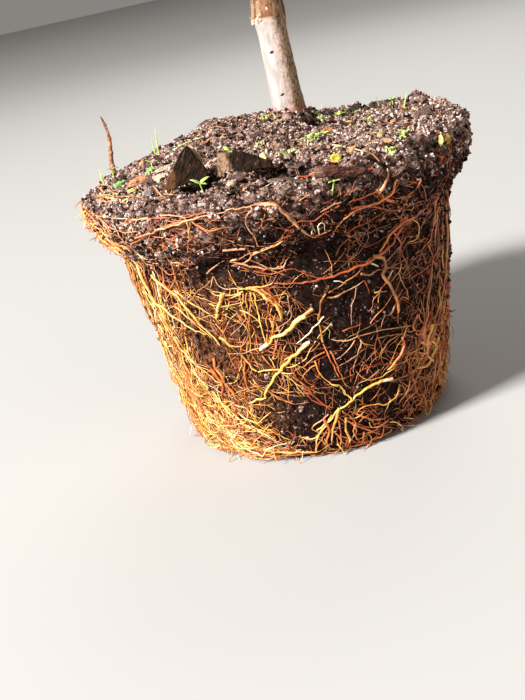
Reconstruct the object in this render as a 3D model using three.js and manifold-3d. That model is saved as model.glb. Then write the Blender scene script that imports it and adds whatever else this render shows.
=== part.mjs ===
// A young grafted tree in its leafless state, lifted out of its pot with the whole root ball.
// Millimetres, +Z up. The origin is the centre of the root ball's flat underside, which the tree
// stands on. -Y is the side that faces the viewer, and angles on the ball are turned from -Y
// towards +X.
//
// The ball keeps the shape of the pot: a wall that widens slowly, a flared collar where the pot
// had its rim, and a mounded top. Roots lie on its wall. The stem stands on a small seat in the
// mound, swells at a graft union, and carries side shoots, each ending in a mass of twigs.

import * as THREE from "three";
import { mergeVertices } from "three/addons/utils/BufferGeometryUtils.js";
import Module from "manifold-3d";

const wasm = await Module();
wasm.setup();

// Root ball
const footRadius = 70;
const shoulderRadius = 82.4;
const shoulderHeight = 104;
const collarRadius = 96.5;
const collarHeight = 129;
const lipRadius = 7; // rounding between the collar and the top
const footChamfer = 3;
const ballSides = 60;
const wallRows = 13;
const collarRows = 6;
const topRings = [0.84, 0.66, 0.48, 0.32, 0.16, 0]; // shares of the way out to the lip
const unevenness = { slow: 0.9, quick: 0.6, fine: 0.4, top: 0.9, topFine: 0.6 };
const moundHeight = 17;
const moundCentre = { x: -14, y: 28 };
const moundSpread = 34;
const topSlope = { x: 0.03, y: -0.035 }; // the top falls to the left and to the back
const stemHollow = { x: 30, y: 22, depth: 3, width: 10 };
const backClod = { x: 78, y: 32, height: 3, width: 28 };
const worn = { depth: 4, from: 15, to: 95 }; // the right side is worn back towards its foot
const seatDepth = 30; // reach of the cutter that clears the stem's seat

// Roots on the wall
const rootSides = 4;
const rootTip = 0.45; // tip radius as a share of the thick end's
const rootStep = 8;
const rootStandOff = 0.25; // over the clearance, for the facets of the wall
const ruledRoots = 15;
const ruledFrom = 78; // degrees, where the hand-placed roots end
const ruledTo = 286;
const ruledHigh = { top: 120, fall: 46 };
const ruledLow = { top: 66, fall: 40 };

// Stem
const stemFoot = { x: 14, y: 20, z: 146 };
const stemTop = 800;
const stemRadiusFoot = 7.8;
const stemRadiusTop = 2.3;
const stemDrift = { x: -15, y: -12 }; // how far the top stands from above the foot
const stemSway = 5;
const stemSides = 12;
const stemSteps = 38;
const graftHeight = 199;
const graftSwelling = 1.3;
const graftSpread = 6;
const flareWidth = 1.2;
const flareHeight = 7;

// Side shoots and twigs
const boughCount = 9;
const lowestBough = 396;
const highestBough = 752;
const boughLength = { low: 182, high: 84 };
const boughRadius = { low: 3.3, high: 2.0 };
const boughTaper = 0.55; // tip radius as a share of the foot's
const boughRise = { from: 34, to: 52 }; // degrees above the horizontal
const firstTurn = 60;
const massLength = { low: 150, high: 96 };
const leaderLength = 152;
const goldenTurn = 137.5; // degrees between one shoot and the next
const twigRadius = 0.95;
const twigsPerMass = 6;
const twigsOnLeader = 8;
const twigRule = {
  from: 0.16, // first and last fork, as shares of the mass's own stem
  to: 0.86,
  longest: 0.5, // lengths as shares of that stem
  shortest: 0.2,
  forward: 0.68,
  sideways: 0.74,
  lift: 0.35,
};
const massRise = 12; // degrees a mass bends up on its way
const budLength = 7;
const budRadius = 1.7;

const clearance = 0.3; // gap between two pieces that touch

const radians = THREE.MathUtils.degToRad;
const mix = THREE.MathUtils.lerp;

// A number from 0 to 1 that is always the same for the same n
function chance(n) {
  const x = Math.sin(n * 12.9898) * 43758.5453;
  return x - Math.floor(x);
}

function solidOf(geometry) {
  const bare = geometry.clone();
  bare.deleteAttribute("normal");
  bare.deleteAttribute("uv");
  const merged = mergeVertices(bare, 1e-4);
  const mesh = new wasm.Mesh({
    numProp: 3,
    vertProperties: new Float32Array(merged.attributes.position.array),
    triVerts: new Uint32Array(merged.index.array),
  });
  return new wasm.Manifold(mesh);
}

function geometryOf(solid) {
  const mesh = solid.getMesh();
  const geometry = new THREE.BufferGeometry();
  geometry.setAttribute("position", new THREE.BufferAttribute(mesh.vertProperties, 3));
  geometry.setIndex(new THREE.BufferAttribute(mesh.triVerts, 1));
  geometry.computeVertexNormals();
  return geometry;
}

// A round rod bent along a curve. radiusAt takes the share of the length from 0 to 1.
function bentRod(curve, radiusAt, sides, steps) {
  const rod = new THREE.CylinderGeometry(1, 1, 1, sides, steps);
  const frames = curve.computeFrenetFrames(steps, false);
  const places = rod.attributes.position;
  for (let i = 0; i < places.count; i += 1) {
    const step = Math.round((places.getY(i) + 0.5) * steps);
    const radius = radiusAt(step / steps);
    const at = curve.getPointAt(step / steps);
    at.addScaledVector(frames.normals[step], places.getX(i) * radius);
    at.addScaledVector(frames.binormals[step], -places.getZ(i) * radius);
    places.setXYZ(i, at.x, at.y, at.z);
  }
  return solidOf(rod);
}

// The ball's outline: radius of the wall and collar at a height
function wallRadius(z) {
  const taper = (shoulderRadius - footRadius) / shoulderHeight;
  if (z <= shoulderHeight) return footRadius + taper * z;
  const rise = Math.min((z - shoulderHeight) / (collarHeight - shoulderHeight), 1);
  return mix(shoulderRadius, collarRadius, Math.sin((rise * Math.PI) / 2));
}

// Unevenness of the wall, in millimetres outwards
function wallLump(angle, z) {
  const slow = unevenness.slow * Math.sin(3 * angle + 0.7) * Math.sin(z / 24 + 1);
  const quick = unevenness.quick * Math.sin(8 * angle + z / 15);
  const fine = unevenness.fine * Math.sin(13 * angle - z / 11);
  const low = 1 - THREE.MathUtils.smoothstep(z, worn.from, worn.to);
  const wear = worn.depth * Math.max(Math.cos(angle), 0) ** 2 * low;
  return (slow + quick + fine) * Math.min(z / 12, 1) - wear;
}

// Height of the top surface above the level of the lip
function topLump(x, y) {
  const fromMound = Math.hypot(x - moundCentre.x, y - moundCentre.y);
  const mound = moundHeight * Math.exp(-((fromMound / moundSpread) ** 2) / 2);
  const ripples = unevenness.top * Math.sin(x / 9 + 1) * Math.cos(y / 11);
  const fine = unevenness.topFine * Math.sin((x - y) / 6);
  const fromHollow = Math.hypot(x - stemHollow.x, y - stemHollow.y) / stemHollow.width;
  const fromClod = Math.hypot(x - backClod.x, y - backClod.y) / backClod.width;
  const hollow = stemHollow.depth * Math.exp(-2 * fromHollow ** 2);
  const clod = backClod.height * Math.exp(-2 * fromClod ** 2);
  return mound + ripples + fine + clod - hollow + topSlope.x * x + topSlope.y * y;
}

function ballProfile() {
  const lipCentre = collarRadius - lipRadius;
  const outline = [new THREE.Vector2(0, 0), new THREE.Vector2(footRadius - footChamfer, 0)];
  for (let i = 0; i <= wallRows; i += 1) {
    const z = mix(footChamfer, shoulderHeight, i / wallRows);
    outline.push(new THREE.Vector2(wallRadius(z), z));
  }
  for (let i = 1; i <= collarRows; i += 1) {
    const z = mix(shoulderHeight, collarHeight, i / collarRows);
    outline.push(new THREE.Vector2(wallRadius(z), z));
  }
  for (const turn of [30, 60, 90]) {
    const across = lipRadius * Math.cos(radians(turn));
    const up = lipRadius * Math.sin(radians(turn));
    outline.push(new THREE.Vector2(lipCentre + across, collarHeight + up));
  }
  for (const share of topRings) {
    outline.push(new THREE.Vector2(lipCentre * share, collarHeight + lipRadius));
  }
  return outline;
}

function makeBall() {
  const ball = new THREE.LatheGeometry(ballProfile(), ballSides);
  ball.rotateX(Math.PI / 2);
  const places = ball.attributes.position;
  for (let i = 0; i < places.count; i += 1) {
    const x = places.getX(i);
    const y = places.getY(i);
    const z = places.getZ(i);
    const out = Math.hypot(x, y);
    const onTop = THREE.MathUtils.smoothstep(z, collarHeight, collarHeight + lipRadius);
    const push = z > 0 ? wallLump(Math.atan2(y, x), z) * (1 - onTop) : 0;
    const grow = out > 0.001 ? 1 + push / out : 1;
    places.setXYZ(i, x * grow, y * grow, z + topLump(x, y) * onTop);
  }
  const solid = solidOf(ball);
  const seatRadius = stemRadiusFoot + flareWidth + clearance;
  const cutter = new THREE.CylinderGeometry(seatRadius, seatRadius, seatDepth, 2 * stemSides);
  cutter.rotateX(Math.PI / 2);
  cutter.translate(stemFoot.x, stemFoot.y, stemFoot.z - clearance + seatDepth / 2);
  return solid.subtract(solidOf(cutter));
}

// A point on the wall or collar, lifted off it
function wallPoint(degrees, z, lift) {
  const angle = radians(degrees);
  const out = wallRadius(z) + wallLump(Math.atan2(-Math.cos(angle), Math.sin(angle)), z) + lift;
  return new THREE.Vector3(out * Math.sin(angle), -out * Math.cos(angle), z);
}

// Roots: each is a list of [angle, height] places, from its thick end to its tip, with the
// radius of that thick end. The roots of one system are grown together.
const rootSystems = {
  root_collar: [
    { radius: 1.5, path: [[-62, 117], [-44, 124], [-27, 130], [-12, 132], [-4, 129], [2, 114]] },
    { radius: 0.9, path: [[-27, 130], [-30, 120], [-34, 112]] },
    { radius: 0.9, path: [[-27, 130], [-19, 117], [-12, 111]] },
  ],
  root_pale_loop: [
    { radius: 1.0, path: [[-22, 106], [-14, 101], [-8, 99], [-4, 103]] },
    { radius: 0.8, path: [[-22, 106], [-15, 109], [-7, 112]] },
  ],
  root_fork_right: [
    { radius: 1.6, path: [[28, 127], [25, 120], [14, 119], [8, 111]] },
    { radius: 1.0, path: [[25, 120], [33, 113], [40, 112]] },
  ],
  root_sweep: [
    { radius: 1.6, path: [[43, 107], [34, 101], [25, 94], [12, 91], [-1, 93]] },
    { radius: 1.3, path: [[25, 94], [27, 82], [30, 70], [27, 62]] },
    { radius: 0.8, path: [[27, 82], [21, 74], [18, 68]] },
  ],
  root_fan: [
    { radius: 1.7, path: [[-20, 92], [-14, 89], [-11, 82], [-10, 74]] },
    { radius: 0.9, path: [[-20, 92], [-26, 91], [-33, 95]] },
    { radius: 0.9, path: [[-20, 92], [-21, 84], [-22, 72]] },
    { radius: 0.8, path: [[-20, 92], [-24, 84], [-30, 78]] },
  ],
  root_thick: [{ radius: 1.9, path: [[1, 78], [-5, 71], [-12, 66], [-20, 62]] }],
  root_fork_yellow: [
    { radius: 1.6, path: [[-4, 61], [-11, 54], [-17, 47], [-23, 37], [-31, 31]] },
    { radius: 0.9, path: [[-11, 54], [-18, 54], [-25, 56]] },
  ],
  root_pale: [
    { radius: 1.5, path: [[24, 31], [14, 31], [6, 27], [0, 20], [-8, 16]] },
    { radius: 0.9, path: [[6, 27], [2, 35], [-3, 40]] },
  ],
  root_left_long: [
    { radius: 1.3, path: [[-66, 103], [-60, 84], [-56, 61], [-54, 36], [-50, 14]] },
    { radius: 1.0, path: [[-60, 84], [-50, 76], [-40, 70]] },
    { radius: 1.0, path: [[-56, 61], [-47, 50], [-41, 44]] },
  ],
  root_right_low: [
    { radius: 1.2, path: [[58, 62], [52, 44], [44, 32], [32, 20]] },
    { radius: 0.9, path: [[52, 44], [42, 47], [32, 52]] },
  ],
  root_foot_left: [
    { radius: 1.3, path: [[-46, 16], [-36, 8], [-22, 5], [-8, 4]] },
    { radius: 0.8, path: [[-36, 8], [-30, 16], [-24, 22]] },
  ],
};

// The sides and back carry roots of the same habit, placed by rule: one high, one low in turn
function ruledSystem(n) {
  const angle = mix(ruledFrom, ruledTo, (n + 0.5) / ruledRoots);
  const band = n % 2 === 0 ? ruledHigh : ruledLow;
  const top = band.top - 12 * chance(n + 3);
  const side = chance(n + 11) < 0.5 ? -1 : 1;
  const main = [0, 1, 2, 3].map((k) => [
    angle + side * (1.7 * k - 3) + 2.4 * (chance(n * 7 + k) - 0.5),
    top - (band.fall * k) / 3,
  ]);
  const [forkAngle, forkHeight] = main[1];
  const fork = [0, 1, 2].map((k) => [forkAngle - side * 2.5 * k, forkHeight - 9 * k]);
  return [
    { radius: 1.2 + 0.4 * chance(n + 29), path: main },
    { radius: 0.9, path: fork },
  ];
}

function makeRoot({ radius, path }) {
  const lift = radius + clearance + rootStandOff;
  const places = path.map(([degrees, z]) => wallPoint(degrees, z, lift));
  const rough = new THREE.CatmullRomCurve3(places);
  const steps = Math.max(4, Math.round(rough.getLength() / rootStep));
  const held = rough.getSpacedPoints(steps).map((p) => {
    const degrees = THREE.MathUtils.radToDeg(Math.atan2(p.x, -p.y));
    return wallPoint(degrees, p.z, lift);
  });
  const course = new THREE.CatmullRomCurve3(held);
  return bentRod(course, (t) => radius * mix(1, rootTip, t), rootSides, steps);
}

// Stem: its middle and radius at a height
function stemMiddle(z) {
  const up = (z - stemFoot.z) / (stemTop - stemFoot.z);
  const sway = stemSway * Math.sin(up * Math.PI * 2.5) * up;
  return new THREE.Vector3(
    stemFoot.x + stemDrift.x * up + sway,
    stemFoot.y + stemDrift.y * up - sway * 0.6,
    z,
  );
}

function stemRadius(z) {
  const up = (z - stemFoot.z) / (stemTop - stemFoot.z);
  const body = mix(stemRadiusFoot, stemRadiusTop, up ** 0.9);
  const flare = flareWidth * Math.exp(-(z - stemFoot.z) / flareHeight);
  const graft = graftSwelling * Math.exp(-(((z - graftHeight) / graftSpread) ** 2));
  return body + flare + graft;
}

// The stem, or with a swelling the space round it that a neighbour keeps clear of
function makeStem(swelling = 0) {
  const rod = new THREE.CylinderGeometry(1, 1, 1, stemSides, stemSteps);
  const places = rod.attributes.position;
  for (let i = 0; i < places.count; i += 1) {
    const step = Math.round((places.getY(i) + 0.5) * stemSteps);
    const z = mix(stemFoot.z, stemTop, (step / stemSteps) ** 1.7);
    const middle = stemMiddle(z);
    const radius = stemRadius(z) + swelling;
    places.setXYZ(i, middle.x + places.getX(i) * radius, middle.y - places.getZ(i) * radius, z);
  }
  return solidOf(rod);
}

// Direction that rises by a number of degrees from the horizontal
function heading(turn, rise) {
  const level = Math.cos(radians(rise));
  return new THREE.Vector3(
    level * Math.cos(radians(turn)),
    level * Math.sin(radians(turn)),
    Math.sin(radians(rise)),
  );
}

// A shoot that leaves a point at one slope and bends up to another
function shootCurve(from, turn, startRise, endRise, length) {
  const middle = from.clone().addScaledVector(heading(turn, startRise), length / 2);
  const end = middle.clone().addScaledVector(heading(turn, endRise), length / 2);
  return new THREE.QuadraticBezierCurve3(from, middle, end);
}

function boughPlan(n) {
  const up = n / (boughCount - 1);
  const z = mix(lowestBough, highestBough, up) + 12 * (chance(n + 5) - 0.5);
  const turn = firstTurn + n * goldenTurn + 14 * (chance(n + 17) - 0.5);
  const length = mix(boughLength.low, boughLength.high, up) * (0.92 + 0.16 * chance(n + 41));
  const radius = mix(boughRadius.low, boughRadius.high, up);
  return { up, turn, radius, curve: shootCurve(stemMiddle(z), turn, boughRise.from, boughRise.to, length) };
}

function makeBough(plan, stemSpace) {
  const radiusAt = (t) => plan.radius * mix(1, boughTaper, t);
  const limb = bentRod(plan.curve, radiusAt, 7, 9).subtract(stemSpace);
  return limb.decompose().sort((a, b) => b.volume() - a.volume())[0];
}

// A bud is a pointed body of eight faces, sunk into the wood for a third of its length
function makeBud(foot, along, size) {
  const at = foot.clone().addScaledVector(along, (budLength * size) / 6);
  const bud = new THREE.OctahedronGeometry(1);
  bud.scale(budRadius * size, (budLength * size) / 2, budRadius * size);
  bud.applyQuaternion(new THREE.Quaternion().setFromUnitVectors(new THREE.Vector3(0, 1, 0), along));
  bud.translate(at.x, at.y, at.z);
  return solidOf(bud);
}

// Twigs from one stem, forking by rule, each with a bud at its tip and buds along it.
// Pieces in kept hold their space: a twig that comes within the clearance of one is left out.
function makeMass(seed, stem, radius, count, kept) {
  const parts = [bentRod(stem, (t) => radius * mix(1, 0.5, t), 5, 6)];
  const length = stem.getLength();
  const tipAlong = stem.getTangentAt(1);
  parts.push(makeBud(stem.getPointAt(1), tipAlong, 1.15));
  for (let k = 0; k < count; k += 1) {
    const share = mix(twigRule.from, twigRule.to, k / (count - 1));
    const along = stem.getTangentAt(share);
    const start = stem.getPointAt(share);
    const across = new THREE.Vector3(0, 0, 1).cross(along).normalize();
    across.applyAxisAngle(along, radians(k * goldenTurn + 90 * chance(seed + k)));
    const out = along.clone().multiplyScalar(twigRule.forward);
    out.addScaledVector(across, twigRule.sideways).normalize();
    const vigour = 0.85 + 0.3 * chance(seed * 3 + k);
    const reach = length * mix(twigRule.longest, twigRule.shortest, share) * vigour;
    const bend = along.clone().add(new THREE.Vector3(0, 0, 0.5)).normalize();
    const knee = start.clone().addScaledVector(out, reach / 2);
    const onward = out.clone().lerp(bend, twigRule.lift).normalize();
    const end = knee.clone().addScaledVector(onward, reach / 2);
    const twigCurve = new THREE.QuadraticBezierCurve3(start, knee, end);
    const twig = [bentRod(twigCurve, (t) => twigRadius * mix(1, 0.65, t), 3, 2)];
    const budAlong = twigCurve.getTangentAt(0.55).addScaledVector(across, 0.6).normalize();
    twig.push(makeBud(twigCurve.getPointAt(0.55), budAlong, 0.8));
    const endAlong = twigCurve.getTangentAt(1);
    twig.push(makeBud(twigCurve.getPointAt(1), endAlong, 0.95));
    const grown = wasm.Manifold.union(twig);
    if (kept.every((other) => grown.minGap(other, 2) > 1)) parts.push(grown);
  }
  return wasm.Manifold.union(parts);
}

// A flake of bark lying on the mound, tilted, its corners cut by a shape
function makeChip({ corners, thickness, place }, ground) {
  const outline = new THREE.Shape(corners.map(([x, y]) => new THREE.Vector2(x, y)));
  const chip = new THREE.ExtrudeGeometry(outline, { depth: thickness, bevelEnabled: false });
  chip.rotateX(radians(place.tilt));
  chip.rotateY(radians(place.fall));
  chip.rotateZ(radians(place.turn));
  chip.translate(place.x, place.y, place.z);
  return solidOf(chip).subtract(ground).decompose().sort((a, b) => b.volume() - a.volume())[0];
}

const chips = {
  chip_folded: {
    corners: [[-14, -3], [9, -3], [8, 5], [1, 16], [-2, 14]],
    thickness: 2,
    place: { x: -41, y: -48, z: 138.5, tilt: 70, fall: 0, turn: -14 },
  },
  chip_upright: {
    corners: [[-12, -3], [17, -3], [14, 3], [1, 9], [-11, 9.5]],
    thickness: 2.4,
    place: { x: -17, y: -52, z: 138.5, tilt: 72, fall: 0, turn: -24 },
  },
  chip_flat: {
    corners: [[-11, -3], [9, -3], [12, 0], [4, 3.5], [-10, 2]],
    thickness: 2.4,
    place: { x: 21, y: -90.5, z: 136.4, tilt: 24, fall: 12, turn: 0 },
  },
};

// A dead twig standing in the left edge of the mound
const deadTwig = { foot: [-79.5, 43, 130], tip: [-82, 43, 165], bow: -5, radius: 1.2 };

function makeDeadTwig(ground) {
  const foot = new THREE.Vector3(...deadTwig.foot);
  const tip = new THREE.Vector3(...deadTwig.tip);
  const knee = foot.clone().lerp(tip, 0.5).add(new THREE.Vector3(deadTwig.bow, 0, 0));
  const curve = new THREE.QuadraticBezierCurve3(foot, knee, tip);
  const rod = bentRod(curve, (t) => deadTwig.radius * mix(1, 0.5, t), 5, 4).subtract(ground);
  return rod.decompose().sort((a, b) => b.volume() - a.volume())[0];
}

const colours = {
  soil: new THREE.MeshStandardMaterial({ color: 0x2b1d17, roughness: 0.95, metalness: 0 }),
  root: new THREE.MeshStandardMaterial({ color: 0xc0691c, roughness: 0.6, metalness: 0 }),
  rootPale: new THREE.MeshStandardMaterial({ color: 0xe0b54a, roughness: 0.55, metalness: 0 }),
  bark: new THREE.MeshStandardMaterial({ color: 0xb69078, roughness: 0.7, metalness: 0 }),
  twig: new THREE.MeshStandardMaterial({ color: 0x7a4c33, roughness: 0.65, metalness: 0 }),
  chip: new THREE.MeshStandardMaterial({ color: 0x4a3023, roughness: 0.85, metalness: 0 }),
};

const tree = new THREE.Group();

function place(name, solid, material) {
  const mesh = new THREE.Mesh(geometryOf(solid), material);
  mesh.name = name;
  tree.add(mesh);
  return solid;
}

const ball = place("root_ball", makeBall(), colours.soil);
const paleRoots = ["root_pale", "root_pale_loop", "root_thick", "root_fork_yellow"];
for (const [name, roots] of Object.entries(rootSystems)) {
  const solid = wasm.Manifold.union(roots.map(makeRoot));
  place(name, solid, paleRoots.includes(name) ? colours.rootPale : colours.root);
}
for (let n = 0; n < ruledRoots; n += 1) {
  const solid = wasm.Manifold.union(ruledSystem(n).map(makeRoot));
  place(`root_side_${n + 1}`, solid, colours.root);
}

const stem = place("trunk", makeStem(), colours.bark);
const limbs = [stem];
const stemSpace = makeStem(clearance * 1.1);
const plans = [];
for (let n = 0; n < boughCount; n += 1) {
  const plan = boughPlan(n);
  plans.push(plan);
  limbs.push(place(`bough_${n + 1}`, makeBough(plan, stemSpace), colours.bark));
}

// Each mass starts the clearance past its bough's tip and keeps the bough's course
const masses = [];
plans.forEach((plan, n) => {
  const along = plan.curve.getTangentAt(1);
  const from = plan.curve.getPointAt(1).addScaledVector(along, clearance);
  const rise = THREE.MathUtils.radToDeg(Math.asin(along.z));
  const length = mix(massLength.low, massLength.high, plan.up);
  const course = shootCurve(from, plan.turn, rise, rise + massRise, length);
  const kept = [...limbs.filter((_, i) => i !== n + 1), ...masses];
  const solid = makeMass(n * 13 + 1, course, plan.radius * boughTaper, twigsPerMass, kept);
  masses.push(place(`twigs_${n + 1}`, solid, colours.twig));
});
const leaderFoot = stemMiddle(stemTop).add(new THREE.Vector3(0, 0, clearance));
const leaderCourse = shootCurve(leaderFoot, 200, 86, 88, leaderLength);
const leaderKept = [...limbs.slice(1), ...masses];
const leader = makeMass(211, leaderCourse, stemRadiusTop, twigsOnLeader, leaderKept);
place("twigs_leader", leader, colours.twig);

const ground = ball.translate(0, 0, clearance);
for (const [name, chip] of Object.entries(chips)) {
  place(name, makeChip(chip, ground), colours.chip);
}
place("dead_twig", makeDeadTwig(ground), colours.twig);

export default tree;
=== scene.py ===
import bmesh
import bpy
import math
import random
import numpy as np
from mathutils import Matrix, Vector, noise
from mathutils.bvhtree import BVHTree


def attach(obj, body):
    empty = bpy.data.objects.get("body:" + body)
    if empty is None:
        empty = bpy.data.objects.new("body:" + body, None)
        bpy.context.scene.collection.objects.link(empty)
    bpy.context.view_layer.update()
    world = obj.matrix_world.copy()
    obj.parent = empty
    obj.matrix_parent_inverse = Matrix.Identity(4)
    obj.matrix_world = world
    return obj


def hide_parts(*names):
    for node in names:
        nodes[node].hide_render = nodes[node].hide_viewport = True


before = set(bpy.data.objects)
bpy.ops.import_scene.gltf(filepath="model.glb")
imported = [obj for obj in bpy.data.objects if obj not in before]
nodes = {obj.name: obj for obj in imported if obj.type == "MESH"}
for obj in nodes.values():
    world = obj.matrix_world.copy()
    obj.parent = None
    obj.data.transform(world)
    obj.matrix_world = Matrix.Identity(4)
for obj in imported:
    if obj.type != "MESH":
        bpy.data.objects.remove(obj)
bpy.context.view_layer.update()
scene = bpy.context.scene
mm = 0.001


def chance(n):
    x = math.sin(n * 12.9898) * 43758.5453
    return x - math.floor(x)


def mix(a, b, t):
    return a + (b - a) * t


def hexColour(code):
    # a screen colour as the linear values that shaders take
    parts = [int(code[i:i + 2], 16) / 255 for i in (0, 2, 4)]
    return tuple(c / 12.92 if c < 0.04045 else ((c + 0.055) / 1.055) ** 2.4 for c in parts) + (1,)


# Shader maths

class Wire:
    # a shader socket that takes part in sums
    def __init__(self, paint, socket):
        self.paint = paint
        self.socket = socket

    def sum(self, operation, first, second):
        return self.paint.node("ShaderNodeMath", {"operation": operation}, {0: first, 1: second})

    def __add__(self, other):
        return self.sum("ADD", self, other)

    def __radd__(self, other):
        return self.sum("ADD", other, self)

    def __sub__(self, other):
        return self.sum("SUBTRACT", self, other)

    def __rsub__(self, other):
        return self.sum("SUBTRACT", other, self)

    def __mul__(self, other):
        return self.sum("MULTIPLY", self, other)

    def __rmul__(self, other):
        return self.sum("MULTIPLY", other, self)


class Paint:
    # one material and the nodes that make it
    def __init__(self, name, **constants):
        self.material = bpy.data.materials.new(name)
        self.material.use_nodes = True
        self.tree = self.material.node_tree
        self.shader = self.tree.nodes["Principled BSDF"]
        for socket, value in constants.items():
            self.shader.inputs[socket.replace("_", " ")].default_value = value
        self.place = self.node("ShaderNodeTexCoord", output="Object")

    def node(self, kind, settings=None, values=None, output=0):
        made = self.tree.nodes.new(kind)
        for key, value in (settings or {}).items():
            if key == "stops":
                ramp = made.color_ramp.elements
                while len(ramp) < len(value):
                    ramp.new(0.5)
                for stop, (position, colour) in zip(ramp, value):
                    stop.position = position
                    stop.color = colour
            else:
                setattr(made, key, value)
        for key, value in (values or {}).items():
            if isinstance(value, Wire):
                self.tree.links.new(value.socket, made.inputs[key])
            else:
                made.inputs[key].default_value = value
        return Wire(self, made.outputs[output])

    def blend(self, factor, first, second, kind="MIX"):
        settings = {"data_type": "RGBA", "blend_type": kind, "clamp_factor": True}
        return self.node("ShaderNodeMix", settings, {0: factor, 6: first, 7: second}, 2)

    def spread(self, value, low, high):
        # 0 at low, 1 at high, smooth between
        values = {"Value": value, "From Min": low, "From Max": high}
        return self.node("ShaderNodeMapRange", {"interpolation_type": "SMOOTHSTEP"}, values)

    def scaled(self, size, stretch=(1, 1, 1), turn=None):
        place = self.place
        if turn:
            place = self.node("ShaderNodeMapping", None, {"Vector": place, "Rotation": turn})
        scale = tuple(s / (size * mm) for s in stretch)
        return self.node("ShaderNodeMapping", None, {"Vector": place, "Scale": scale})

    def cloud(self, size, stretch=(1, 1, 1), detail=3.0, roughness=0.55, turn=None):
        place = self.scaled(size, stretch, turn)
        values = {"Vector": place, "Scale": 1.0, "Detail": detail, "Roughness": roughness}
        return self.node("ShaderNodeTexNoise", None, values)

    def cells(self, size, stretch=(1, 1, 1), output="Distance"):
        values = {"Vector": self.scaled(size, stretch), "Scale": 1.0}
        return self.node("ShaderNodeTexVoronoi", None, values, output)

    def axis(self, name):
        return self.node("ShaderNodeSeparateXYZ", None, {0: self.place}, name)

    def finish(self, colour=None, roughness=None, relief=None, depth=0.3, strength=0.8):
        if colour is not None:
            self.tree.links.new(colour.socket, self.shader.inputs["Base Color"])
        if roughness is not None:
            self.tree.links.new(roughness.socket, self.shader.inputs["Roughness"])
        if relief is not None:
            values = {"Height": relief, "Distance": depth * mm, "Strength": strength}
            bump = self.node("ShaderNodeBump", None, values)
            self.tree.links.new(bump.socket, self.shader.inputs["Normal"])
        return self.material


# The compost is dry and pale above a height that rises from the left to the right, in mm
dryEdge = {"from": -80, "to": 12, "left": 101, "right": 124}
compost = {
    "specular": 0.14,
    "rough": 0.92,
    "wet": 0.42,  # how much less rough the damp patches are
    "stain": "865430",  # from the root mat, on the left of the wall and on the back
    # painted shade between the crumbs
    "gap": "0a0301",
    # painted shade in the deep hollows, for the body and for its grains
    "hollow": "050201",
    "hollowShadeGrain": "1c100a",
}


def compostPaint(name, dark, mid, light, share, dry=None):
    # crumbly compost: dark body, brown patches, painted shade in the gaps between the crumbs and in the deep
    # hollows, and pale grains over a share of it, partly pale bits and partly painted highlights.
    # dry holds the dark, mid and grain colours of the rim and the top, where it has dried
    paint = Paint(name, Specular_IOR_Level=compost["specular"])
    patches = paint.spread(paint.cloud(5, detail=5.0), 0.38, 0.62)
    body = paint.blend(patches, hexColour(dark), hexColour(mid))
    side = paint.spread(paint.axis("X"), -0.008, -0.05) + paint.spread(paint.axis("Y"), 0.0, 0.04)
    low = paint.spread(paint.axis("Z"), 0.104, 0.084)
    fibres = paint.spread(paint.cloud(2.2, (1, 1, 0.4), 5.0), 0.38, 0.62)
    body = paint.blend(side * low * fibres * 0.7, body, hexColour(compost["stain"]))
    pale = hexColour(light)
    if dry:
        across = paint.spread(paint.axis("X"), dryEdge["from"] * mm, dryEdge["to"] * mm)
        edge = across * ((dryEdge["right"] - dryEdge["left"]) * mm) + dryEdge["left"] * mm
        up = paint.axis("Z") + (paint.cloud(9) - 0.5) * 0.02 - edge
        above = paint.spread(up, -0.002, 0.005)
        body = paint.blend(above, body, paint.blend(patches, hexColour(dry[0]), hexColour(dry[1])))
        pale = paint.blend(above, pale, hexColour(dry[2]))
    # painted shade in the gaps between the crumbs
    gaps = paint.spread(paint.cells(1.4), 0.42, 0.75)
    body = paint.blend(gaps * 0.7, body, hexColour(compost["gap"]))
    # painted shade in the deep hollows, over the body and the grains
    hollow = paint.node("ShaderNodeAttribute", {"attribute_name": "hollow"}, None, "Fac")
    body = paint.blend(hollow, body, hexColour(compost["hollow"]))
    pale = paint.blend(hollow, pale, hexColour(compost["hollowShadeGrain"]))
    # pale grains: partly pale bits of the compost, partly painted highlights on the crumbs
    grains = paint.node("ShaderNodeSeparateColor", None, {0: paint.cells(0.75, output="Color")})
    lit = paint.spread(grains, 1 - share, 1 - share + 0.06)
    colour = paint.blend(lit, body, pale)
    dampness = paint.spread(paint.cloud(2.3), 0.42, 0.6)
    roughness = compost["rough"] - dampness * compost["wet"]
    relief = paint.cloud(0.8, detail=4.0) + paint.cells(1.0) * 0.6
    return paint.finish(colour, roughness, relief, 0.5, 0.9)


rootSkin = {"specular": 0.75, "rough": 0.3, "specks": "3a2013"}


def rootPaint(name, base, shade):
    # a root's skin: one plain colour, clouded along its length
    paint = Paint(name, Specular_IOR_Level=rootSkin["specular"])
    clouds = paint.spread(paint.cloud(4.5, detail=4.0), 0.36, 0.66)
    specks = paint.spread(paint.cloud(1.2), 0.58, 0.72) * 0.6
    colour = paint.blend(clouds, hexColour(base), hexColour(shade))
    colour = paint.blend(specks, colour, hexColour(rootSkin["specks"]))
    roughness = rootSkin["rough"] + paint.cloud(1.5) * 0.25
    return paint.finish(colour, roughness, paint.cloud(0.7, detail=3.0), 0.12, 0.6)


def plainPaint(name, base, shade, size=3.0, rough=0.6, stretch=(1, 1, 1), depth=0.2):
    # two colours in clouds of a size in mm
    paint = Paint(name)
    clouds = paint.spread(paint.cloud(size, stretch, 5.0), 0.34, 0.66)
    colour = paint.blend(clouds, hexColour(base), hexColour(shade))
    roughness = rough + paint.cloud(size / 2) * 0.2
    return paint.finish(colour, roughness, paint.cloud(size / 4, stretch, 4.0), depth, 0.7)


# Meshes

def addPiece(name, mesh, material, replaced=()):
    piece = bpy.data.objects.new(name, mesh)
    scene.collection.objects.link(piece)
    mesh.materials.clear()
    mesh.materials.append(material)
    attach(piece, "root")
    if replaced:
        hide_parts(*replaced)


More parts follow.
